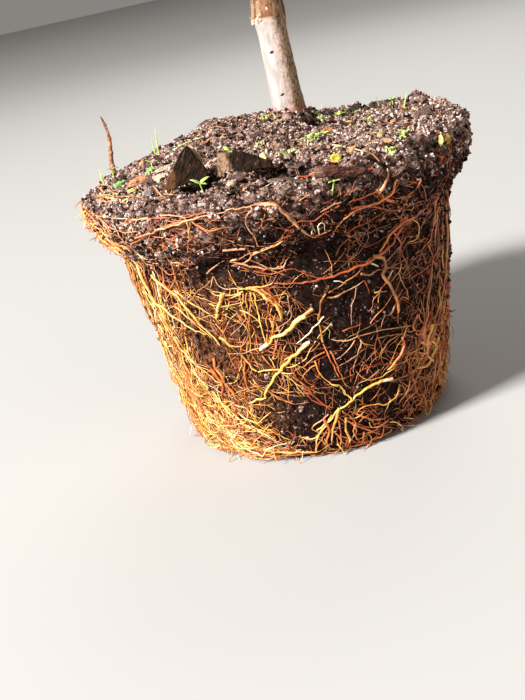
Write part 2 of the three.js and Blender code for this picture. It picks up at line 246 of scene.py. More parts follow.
def baked(holder):
    # the holder's mesh with its modifiers or bevel made real
    bpy.context.view_layer.update()
    shown = holder.evaluated_get(bpy.context.evaluated_depsgraph_get())
    mesh = bpy.data.meshes.new_from_object(shown)
    bpy.data.objects.remove(holder)
    return mesh


def smooth(mesh):
    mesh.polygons.foreach_set("use_smooth", [True] * len(mesh.polygons))
    mesh.update()
    return mesh


def evenCopy(node, voxel):
    # a node's solid as an even mesh of its own
    work = bmesh.new()
    work.from_mesh(nodes[node].data)
    bmesh.ops.remove_doubles(work, verts=work.verts, dist=0.001 * mm)
    mesh = bpy.data.meshes.new(node)
    work.to_mesh(mesh)
    work.free()
    holder = bpy.data.objects.new(node, mesh)
    scene.collection.objects.link(holder)
    even = holder.modifiers.new("even", "REMESH")
    even.mode = "VOXEL"
    even.voxel_size = voxel * mm
    return baked(holder)


def pushedOut(mesh, relief):
    # moves each vertex out by the relief at its place, both in mm
    moved = [v.co + v.normal * relief(v.co / mm) * mm for v in mesh.vertices]
    for vert, place in zip(mesh.vertices, moved):
        vert.co = place
    return smooth(mesh)


def strands(name, lines, ring=0):
    # closed tubes along lines of (points, radii), with 4 + 2 * ring sides
    curve = bpy.data.curves.new(name, "CURVE")
    curve.dimensions = "3D"
    curve.bevel_depth = 1
    curve.bevel_resolution = ring
    curve.use_fill_caps = True
    for points, radii in lines:
        spline = curve.splines.new("POLY")
        spline.points.add(len(points) - 1)
        corners = np.ones((len(points), 4))
        corners[:, :3] = points
        spline.points.foreach_set("co", corners.ravel())
        spline.points.foreach_set("radius", np.asarray(radii, float))
    holder = bpy.data.objects.new(name, curve)
    scene.collection.objects.link(holder)
    return smooth(baked(holder))


def joinedCopies(name, templates, spots):
    # one mesh of copies: each spot is (template number, 3x3 turn and size, place)
    shapes = []
    for shape in templates:
        shape.verts.ensure_lookup_table()
        corners = np.array([v.co for v in shape.verts])
        faces = [[v.index for v in f.verts] for f in shape.faces]
        shapes.append((corners, faces))
    corners = []
    faces = []
    total = 0
    for which, turn, place in spots:
        body, sides = shapes[which]
        corners.append(body @ np.asarray(turn).T + np.asarray(place))
        faces.extend([[i + total for i in side] for side in sides])
        total += len(body)
    mesh = bpy.data.meshes.new(name)
    mesh.from_pydata(np.concatenate(corners), [], faces)
    mesh.update()
    return mesh


def randomTurn(rng, stretch):
    # a matrix that turns a copy any way and stretches it first
    q = np.array([rng.gauss(0, 1) for _ in range(4)])
    w, x, y, z = q / np.linalg.norm(q)
    turn = np.array([
        [1 - 2 * (y * y + z * z), 2 * (x * y - z * w), 2 * (x * z + y * w)],
        [2 * (x * y + z * w), 1 - 2 * (x * x + z * z), 2 * (y * z - x * w)],
        [2 * (x * z - y * w), 2 * (y * z + x * w), 1 - 2 * (x * x + y * y)],
    ])
    return turn * np.array(stretch)


def facing(out, along):
    # a matrix whose Z is out and whose X is near along
    z = np.array(Vector(out).normalized())
    x = np.array(along, float)
    x = x - z * x.dot(z)
    x = x / np.linalg.norm(x)
    return np.stack([x, np.cross(z, x), z], 1)


# Camera, light and floor

# The photo's camera, in mm and degrees, with its focal length in pixels of the photo
view = {
    "place": (-26, -541, 231), "down": 19.9, "roll": 12.7, "focalPixels": 1100, "tall": 700, "sensor": 36,
}
camera = bpy.data.objects.new("camera", bpy.data.cameras.new("camera"))
scene.collection.objects.link(camera)
camera.data.sensor_width = view["sensor"]
camera.data.lens = view["sensor"] * view["focalPixels"] / view["tall"]
camera.data.clip_start = 0.01
tilt = Matrix.Rotation(math.radians(90 - view["down"]), 4, "X")
roll = Matrix.Rotation(math.radians(-view["roll"]), 4, "Z")
camera.matrix_world = Matrix.Translation(Vector(view["place"]) * mm) @ tilt @ roll
scene.camera = camera

studio = {
    "aim": (0, 0, 0.1), "sky": (0.95, 0.89, 0.84, 1), "skyStrength": 0.26, "floor": (0.35, 0.345, 0.335, 1),
}
lamps = {
    "key": {"place": (-3.1, -1.9, 2.8), "size": 0.9, "power": 690, "colour": (1.0, 0.982, 0.96)},
    "fill": {"place": (1.2, -1.5, 0.9), "size": 1.6, "power": 10, "colour": (1.0, 0.95, 0.9)},
    "back": {"place": (0.5, 1.6, 1.4), "size": 1.2, "power": 16, "colour": (1.0, 0.98, 0.95)},
}
for name, lamp in lamps.items():
    light = bpy.data.lights.new(name, "AREA")
    light.size = lamp["size"]
    light.energy = lamp["power"]
    light.color = lamp["colour"]
    holder = bpy.data.objects.new(name, light)
    holder.location = lamp["place"]
    way = Vector(studio["aim"]) - Vector(lamp["place"])
    holder.rotation_euler = way.to_track_quat("-Z", "Y").to_euler()
    scene.collection.objects.link(holder)

world = bpy.data.worlds.new("studio")
world.use_nodes = True
sky = world.node_tree.nodes["Background"]
sky.inputs["Color"].default_value = studio["sky"]
sky.inputs["Strength"].default_value = studio["skyStrength"]
scene.world = world
scene.view_settings.view_transform = "Standard"

ground = bmesh.new()
bmesh.ops.create_grid(ground, x_segments=1, y_segments=1, size=8)
groundMesh = bpy.data.meshes.new("floor")
ground.to_mesh(groundMesh)
ground.free()
floor = bpy.data.objects.new("floor", groundMesh)
scene.collection.objects.link(floor)
floorPaint = Paint("floor", Roughness=0.8)
floorPaint.shader.inputs["Base Color"].default_value = studio["floor"]
groundMesh.materials.append(floorPaint.material)
print("camera, light and floor ready")


# The soil of the root ball

soil = {
    "voxel": 1.26,
    "lumps": ((12, 1.6), (5, 1.0)),  # size and height, mm
    "crumbs": ((7.5, 2.2), (4.2, 3.2), (2.2, 1.8)),
    "heap": {"place": (14, 20), "from": 8.5, "width": 4.5, "height": 3.4},  # against the stem
    "wallShare": 0.55,  # of the relief, because the wall is flatter than the top
    "wallSunk": 0.9,  # mm, so that the crumbs on the wall reach the part's outline
    "footFrom": 18,  # under this height the foot draws in by up to this share
    "footDrawn": 0.045,
    "lip": 128,
    "shadedFrom": 4,  # deeper pits are painted dark inside, as shade
}
# hollows in the top, the deeper ones painted dark inside as shade: x, y, width, depth
pits = (
    (25, 8, 6.5, 7), (70, -7, 8, 6), (-5, -65, 9, 9), (5, -75, 7, 7), (-37, -57, 8, 7), (-33, -44, 5, 3),
    (-14, 2, 6, 3), (40, -66, 7, 3), (-60, -20, 5, 3), (52, 60, 8, 3), (-30, 66, 8, 3), (0, -82, 6, 5),
    (-29, -9, 6, 5), (-24, -57, 5, -2.4), (24, -77, 6, 3), (-42, -50, 7, 6), (10, -66, 7, 6),
    (-4, -54, 6, 6), (-34, -48, 6, 5), (7, -60, 6, 5),
)
# hollows, and one lump, in the wall: angle, height, width, depth
caves = (
    (-15, 121, 7, 3.6), (-4, 120, 6, 2.6), (-30, 100, 7, 2.4), (1, 103, 8, 2.4), (14, 78, 9, 1.6),
    (20, 112, 7, 2.4), (-40, 60, 6, 2.4), (-12, 24, 9, -1.4), (-58, 112, 7, 2.2), (70, 104, 9, 2.4),
    (140, 112, 9, 2.6), (214, 100, 9, 2.2), (262, 114, 8, 2.4), (110, 60, 9, 1.8), (180, 70, 9, 1.6),
)


def hollowShadeAt(x, y):
    # 0 to 1: how much painted shade a place in mm gets from lying deep in a hollow of the top
    total = 0
    for a, b, width, depth in pits:
        if depth > soil["shadedFrom"]:
            total += math.exp(-((x - a) ** 2 + (y - b) ** 2) / (0.8 * width) ** 2)
    return min(total, 1)


def soilHeight(place, up):
    at = place / mm
    onTop = at.z > soil["lip"] and up > 0.4
    share = 1.0 if onTop else mix(soil["wallShare"], 0.95, min(max((at.z - 96) / 14, 0), 1))
    height = 0
    for size, tall in soil["lumps"]:
        height += tall * noise.noise(at / size)
    for size, tall in soil["crumbs"]:
        height += tall * (0.5 - noise.voronoi(at / size)[0][0])
    height *= share
    if onTop:
        for x, y, width, depth in pits:
            height -= depth * math.exp(-((at.x - x) ** 2 + (at.y - y) ** 2) / width ** 2)
        heap = soil["heap"]
        away = max(math.hypot(at.x - heap["place"][0], at.y - heap["place"][1]) - heap["from"], 0)
        height += heap["height"] * math.exp(-((away / heap["width"]) ** 2))
    else:
        height -= soil["wallSunk"]
        turn = math.degrees(math.atan2(at.x, -at.y))
        for angle, level, width, depth in caves:
            around = ((turn - angle + 180) % 360 - 180) * 1.5
            height -= depth * math.exp(-(around ** 2 + (at.z - level) ** 2) / width ** 2)
    return height * min(max((at.z - 0.5) / 4, 0), 1) * mm


def makeSoil():
    mesh = evenCopy("root_ball", soil["voxel"])
    levels = [soilHeight(vert.co, vert.normal.z) for vert in mesh.vertices]
    moved = [vert.co + vert.normal * level for vert, level in zip(mesh.vertices, levels)]
    for vert, place in zip(mesh.vertices, moved):
        near = max(1 - place.z / (soil["footFrom"] * mm), 0)
        place.xy *= 1 - soil["footDrawn"] * near ** 2
        vert.co = place
        vert.co.z = max(place.z, 0)
    return smooth(mesh), np.array(levels)


soilMesh, soilLevels = makeSoil()
# how much painted shade each place of the top gets in the deep hollows
hollowShading = [hollowShadeAt(*(v.co.xy / mm)) if v.co.z > soil["lip"] * mm else 0 for v in soilMesh.vertices]
soilMesh.attributes.new("hollow", "FLOAT", "POINT").data.foreach_set("value", hollowShading)
soilPaint = compostPaint("compost", "110402", "28120a", "80655a", 0.06, ("432d25", "917569", "c6b2a8"))
addPiece("soil_ball", soilMesh, soilPaint, ["root_ball"])
soilTree = BVHTree.FromPolygons([v.co for v in soilMesh.vertices], [p.vertices for p in soilMesh.polygons])
print("soil", len(soilMesh.polygons), "faces")

# How far out the soil reaches, by angle and height, and the round of the lip, which the top's
# relief doesn't undercut
scan = {"turns": 480, "first": 0.7, "step": 1.5, "rows": 92, "outside": 0.2, "missed": 0.09}
lip = {"middle": 129, "reach": 88.5, "round": 7}


def scanWall():
    reach = np.zeros((scan["turns"], scan["rows"]))
    for i in range(scan["turns"]):
        angle = 2 * math.pi * i / scan["turns"]
        out = Vector((math.sin(angle), -math.cos(angle), 0))
        for j in range(scan["rows"]):
            start = out * scan["outside"] + Vector((0, 0, (j * scan["step"] + scan["first"]) * mm))
            hit = soilTree.ray_cast(start, -out)[0]
            reach[i, j] = Vector((hit.x, hit.y, 0)).length if hit else scan["missed"]
    heights = np.arange(scan["rows"]) * scan["step"] + scan["first"]
    above = np.maximum(heights - lip["middle"], 0)
    edge = lip["reach"] + np.sqrt(np.maximum(lip["round"] ** 2 - above ** 2, 0))
    reach = np.where(heights > soil["lip"], np.maximum(reach, edge * mm), reach)
    around = (np.roll(reach, 1, 0) + reach + np.roll(reach, -1, 0)) / 3
    return np.maximum(around, reach - 0.3 * mm)


wallReach = scanWall()


def onWall(degrees, heights, lift):
    # places on the soil from angles (from -Y towards +X) and heights in mm, lifted by mm
    degrees = np.asarray(degrees, float)
    heights = np.asarray(heights, float)
    u = (degrees % 360) / 360 * scan["turns"]
    v = np.clip((heights - scan["first"]) / scan["step"], 0, scan["rows"] - 1.001)
    i = np.floor(u).astype(int)
    j = np.floor(v).astype(int)
    fu = u - i
    fv = v - j
    near, far = i % scan["turns"], (i + 1) % scan["turns"]
    low = wallReach[near, j] * (1 - fu) + wallReach[far, j] * fu
    high = wallReach[near, j + 1] * (1 - fu) + wallReach[far, j + 1] * fu
    out = low * (1 - fv) + high * fv + np.asarray(lift) * mm
    turn = np.radians(degrees)
    return np.stack([out * np.sin(turn), -out * np.cos(turn), heights * mm], 1)


def onTop(x, y):
    # the place and slope of the top under x, y in mm
    hit, normal, _, _ = soilTree.ray_cast(Vector((x, y, 200)) * mm, Vector((0, 0, -1)))
    return (hit, normal) if hit else (Vector((x, y, 135)) * mm, Vector((0, 0, 1)))


# Loose crumbs over the soil

crumbs = {
    "seed": 7,
    "count": 40000,
    "sizes": (0.27, 1.1),
    "shapes": 9,
    "most": 9500,  # in one piece
    "low": 0.45,  # this share of the surface counts as gaps, whose crumbs are darker as painted shade
    "inShadedHollow": 0.33,  # where a hollow's painted shade passes this, the crumbs take the near black tints
    # how thickly they lie, and from which height in mm
    "wall": 0.85, "rim": 1.7, "rimFrom": 102, "top": 2.2, "topFrom": 126, "bareFoot": 2.5,
    # dark, mid and grain colours, share of grains, size
    "tints": {
        "black": ("120402", "220c04", "6a5344", 0.04, 1.0),
        "brown": ("36190c", "582f1c", "9c7c6b", 0.1, 1.0),
        "umber": ("694d41", "927568", "c8b4aa", 0.14, 1.15),
        "pink": ("a38a80", "cbb6ac", "e4d6cf", 0.14, 0.86),
        # pale grit, partly real grit and partly painted glints
        "grit": ("b0a69e", "d8cec6", "eee6e0", 0.2, 0.36),
        # near black crumbs that lie in the deep hollows as painted shade
        "deep": ("060201", "100603", "35231a", 0.04, 1.0),
    },
    # how the tints share each kind of place, in the order above; the gaps and the hollows get more dark
    # tints, as painted shade
    "shares": {
        "wall": (0.56, 0.32, 0.075, 0.025, 0.02, 0),
        "wall gap": (0.76, 0.2, 0.03, 0, 0.01, 0),
        "dry": (0.1, 0.14, 0.26, 0.45, 0.05, 0),
        "dry gap": (0.62, 0.25, 0.08, 0.04, 0.01, 0),
        "hollow": (0.12, 0.03, 0.01, 0, 0, 0.84),
    },
}


def dryFrom(x):
    share = np.clip((x - dryEdge["from"]) / (dryEdge["to"] - dryEdge["from"]), 0, 1)
    return mix(dryEdge["left"], dryEdge["right"], share * share * (3 - 2 * share))


def crumbShapes(count):
    shapes = []
    for n in range(count):
        shape = bmesh.new()
        bmesh.ops.create_icosphere(shape, subdivisions=1, radius=1)
        for vert in shape.verts:
            vert.co *= 0.5 + 0.9 * chance(n * 31 + vert.index)
        shapes.append(shape)
    return shapes


def scatterCrumbs():
    rng = random.Random(crumbs["seed"])
    soilMesh.calc_loop_triangles()
    corners = np.array([v.co for v in soilMesh.vertices])
    tris = np.array([t.vertices for t in soilMesh.loop_triangles])
    a, b, c = corners[tris[:, 0]], corners[tris[:, 1]], corners[tris[:, 2]]
    cross = np.cross(b - a, c - a)
    area = np.linalg.norm(cross, axis=1)
    middle = (a + b + c) / 3 / mm
    dry = middle[:, 2] > dryFrom(middle[:, 0])
    up = middle[:, 2]
    level = soilLevels[tris].mean(1)
    limit = np.where(dry, np.quantile(level[dry], crumbs["low"]), np.quantile(level[~dry], crumbs["low"]))
    # places below the limit are gaps, which take darker crumbs as painted shade
    kind = 2 * dry + (level < limit)
    # crumbs in the deep hollows take the kind of painted shade
    kind = np.where(np.array(hollowShading)[tris].mean(1) > crumbs["inShadedHollow"], 4, kind)
    weight = np.where(up > crumbs["rimFrom"], crumbs["rim"], crumbs["wall"])
    weight = np.where((up > crumbs["topFrom"]) & (cross[:, 2] > 0.4 * area), crumbs["top"], weight)
    weight = np.where(up < crumbs["bareFoot"], 0, weight)
    sums = np.cumsum(area * weight)
    spots = {tint: [] for tint in crumbs["tints"]}
    names = list(crumbs["tints"])
    shares = list(crumbs["shares"].values())
    for _ in range(crumbs["count"]):
        k = min(int(np.searchsorted(sums, rng.random() * sums[-1])), len(tris) - 1)
        s, t = rng.random(), rng.random()
        if s + t > 1:
            s, t = 1 - s, 1 - t
        place = a[k] + (b[k] - a[k]) * s + (c[k] - a[k]) * t
        tint = rng.choices(names, shares[kind[k]])[0]
        size = mix(*crumbs["sizes"], rng.random() ** 2.2) * crumbs["tints"][tint][4] * mm
        if place[2] < size * 1.6:
            continue
        out = cross[k] / max(area[k], 1e-12)
        stretch = [size * rng.uniform(0.5, 1.5) for _ in range(3)]
        which = rng.randrange(crumbs["shapes"])
        spots[tint].append((which, randomTurn(rng, stretch), place + out * size * 0.35))
    return spots


crumbSpots = scatterCrumbs()
crumbTemplates = crumbShapes(crumbs["shapes"])
for tint, spots in crumbSpots.items():
    paint = compostPaint("crumbs_" + tint, *crumbs["tints"][tint][:4])
    for part, first in enumerate(range(0, len(spots), crumbs["most"])):
        name = "crumbs_%s_%d" % (tint, part + 1)
        mesh = joinedCopies(name, crumbTemplates, spots[first:first + crumbs["most"]])
        addPiece(name, mesh, paint)
    print("crumbs", tint, len(spots))


# Roots on the wall

rootTints = {
    "yellow": ("f8d070", "e09c2c"),
    "gold": ("ecb25e", "c67a20"),
    "orange": ("da7e3c", "aa4c12"),
    "rust": ("b0501e", "70280a"),
    "amber": ("b4742e", "804616"),
    "tan": ("d4986c", "9c6038"),
    "pale": ("f4e6c2", "e4cc98"),
}
rootLines = {tint: [] for tint in rootTints}
path = {"step": 1.4, "perDegree": 1.45}  # mm along a root, and round the wall


def smoothPath(places):
    # a smooth course through (angle, height) places
    knots = np.array(places, float)
    knots = np.concatenate([2 * knots[:1] - knots[1:2], knots, 2 * knots[-1:] - knots[-2:-1]])
    course = []
    for k in range(1, len(knots) - 2):
        p0, p1, p2, p3 = knots[k - 1:k + 3]
        span = math.hypot((p2[0] - p1[0]) * path["perDegree"], p2[1] - p1[1])
        count = max(2, round(span / path["step"]))
        for t in np.arange(count) / count:
            course.append(0.5 * (2 * p1 + (p2 - p0) * t + (2 * p0 - 5 * p1 + 4 * p2 - p3) * t ** 2
                                 + (3 * p1 - p0 - 3 * p2 + p3) * t ** 3))
    course.append(knots[-2])
    return np.array(course)


def eased(values, rounds=2):
    for _ in range(rounds):
        inner = (values[:-2] + 2 * values[1:-1] + values[2:]) / 4
        values = np.concatenate([values[:1], inner, values[-1:]])
    return values


def layRoot(tint, places, radius, tip, lift, wobble, seed, bow=0.0):
    # lays a root along (angle, height) places on the soil, thinner towards its tip. In mm: its
    # radius, its lift off the soil, its wobble, and the bow that it stands off midway
    course = smoothPath(places)
    n = len(course)
    steps = np.arange(n)
    sway = [noise.noise((seed * 1.7, i * 0.45, 3.1)) for i in steps]
    sink = [noise.noise((seed * 2.3, i * 0.22, 9.4)) for i in steps]
    degrees = course[:, 0] + np.array(sway) * wobble
    heights = np.maximum(course[:, 1] + np.roll(sway, 3) * wobble, radius + 0.2)
    points = onWall(degrees, heights, lift + radius * 0.4 + bow * np.sin(np.pi * steps / (n - 1)) ** 2)
    out = eased(np.hypot(points[:, 0], points[:, 1])) + np.array(sink) * radius * mm
    angle = np.radians(degrees)
    points[:, 0] = out * np.sin(angle)
    points[:, 1] = -out * np.cos(angle)
    share = steps / (n - 1)
    thick = radius * (1 - (1 - tip) * share) * (1 + 0.18 * np.array(sink))
    thick[-1] *= 0.35
    rootLines[tint].append((points, thick * mm))


# The large roots at the part's own places: tint, share of the part's thickness, and for each
# root its radius and (angle, height) places. The part's are thicker so that they can be made.
rootSystems = {
    "root_collar": ("tan", 0.36,
        (1.5, (-62, 117), (-44, 124), (-27, 130), (-12, 132), (-4, 129), (2, 114)),
        (0.9, (-27, 130), (-30, 120), (-34, 112)),
        (0.9, (-27, 130), (-19, 117), (-12, 111)),
    ),
    "root_pale_loop": ("tan", 0.56,
        (1.0, (-22, 106), (-14, 101), (-8, 99), (-4, 103)),
        (0.8, (-22, 106), (-15, 109), (-7, 112)),
    ),
    "root_fork_right": ("orange", 0.4,
        (1.6, (28, 127), (25, 120), (14, 119), (8, 111)),
        (1.0, (25, 120), (33, 113), (40, 112)),
    ),
    "root_sweep": ("rust", 0.46,
        (1.6, (43, 107), (34, 101), (25, 94), (12, 91), (5, 90), (-4, 91), (-11, 93)),
        (0.8, (27, 82), (21, 74), (18, 68)),
    ),
    "root_fan": ("gold", 0.58,
        (1.7, (-19, 92), (-16, 90), (-14, 86), (-12, 83), (-11, 79), (-11, 75)),
        (0.8, (-12, 85), (-10, 81), (-10, 77)),
        (1.1, (-20, 92), (-15, 92), (-11, 93)),
    ),
    "root_thick": ("yellow", 0.62,
        (1.9, (-3, 75), (-7, 72), (-10, 69), (-14, 67), (-17, 65), (-20, 62)),
    ),
    "root_fork_yellow": ("yellow", 0.55,
        (
            1.6, (-4, 61), (-8, 58), (-11, 55), (-15, 51), (-18, 47), (-21, 42), (-24, 37), (-28, 35),
            (-31, 34),
        ),
        (0.9, (-15, 50), (-19, 51), (-23, 51), (-25, 52), (-27, 56), (-29, 59)),
    ),
    "root_pale": ("yellow", 0.48,
        (1.5, (24, 31), (19, 32), (15, 31), (10, 30), (6, 27), (2, 25), (-2, 21), (-8, 16)),
        (0.9, (7, 28), (5, 34), (4, 37), (0, 40)),
    ),
    "root_left_long": ("gold", 0.6,
        (1.3, (-66, 103), (-60, 84), (-56, 61), (-54, 36), (-50, 14)),
        (1.0, (-60, 84), (-50, 76), (-40, 70)),
        (1.0, (-56, 61), (-47, 50), (-41, 44)),
    ),
    "root_right_low": ("amber", 0.6,
        (1.2, (58, 62), (52, 44), (44, 32), (32, 20)),
        (0.9, (52, 44), (42, 47), (32, 52)),
    ),
    "root_foot_left": ("gold", 0.6,
        (1.3, (-46, 16), (-36, 8), (-22, 5), (-8, 4)),
        (0.8, (-36, 8), (-30, 16), (-24, 22)),
    ),
}
# roots by rule on the right and the back; high and low hold where they start and how far they fall
ruled = {
    "count": 15, "from": 78, "to": 286, "high": (120, 46), "low": (66, 40), "slim": 0.68, "fork": 0.9,
    "tints": ("orange", "gold", "amber"), "seed": 300,
}
replacedRoots = {tint: [] for tint in rootTints}


def ruledSystem(n):
    angle = mix(ruled["from"], ruled["to"], (n + 0.5) / ruled["count"])
    start, fall = ruled["high"] if n % 2 == 0 else ruled["low"]
    top = start - 12 * chance(n + 3)
    side = -1 if chance(n + 11) < 0.5 else 1
    main = [
        (angle + side * (1.7 * k - 3) + 2.4 * (chance(n * 7 + k) - 0.5), top - fall * k / 3)
        for k in range(4)
    ]
    fork = [(main[1][0] - side * 2.5 * k, main[1][1] - 9 * k) for k in range(3)]
    return [(1.2 + 0.4 * chance(n + 29), *main), (ruled["fork"], *fork)]


for count, (node, (tint, slim, *roots)) in enumerate(rootSystems.items()):
    for k, (radius, *places) in enumerate(roots):
        layRoot(tint, places, radius * slim, tip=0.4, lift=0.9, wobble=1.0, seed=count * 5 + k)
    replacedRoots[tint].append(node)
for n in range(ruled["count"]):
    tint = ruled["tints"][n % len(ruled["tints"])]
    for k, (radius, *places) in enumerate(ruledSystem(n)):
        seed = ruled["seed"] + n * 3 + k
        layRoot(tint, places, radius * ruled["slim"], tip=0.4, lift=0.8, wobble=0.7, seed=seed)
    replacedRoots[tint].append("root_side_%d" % (n + 1))

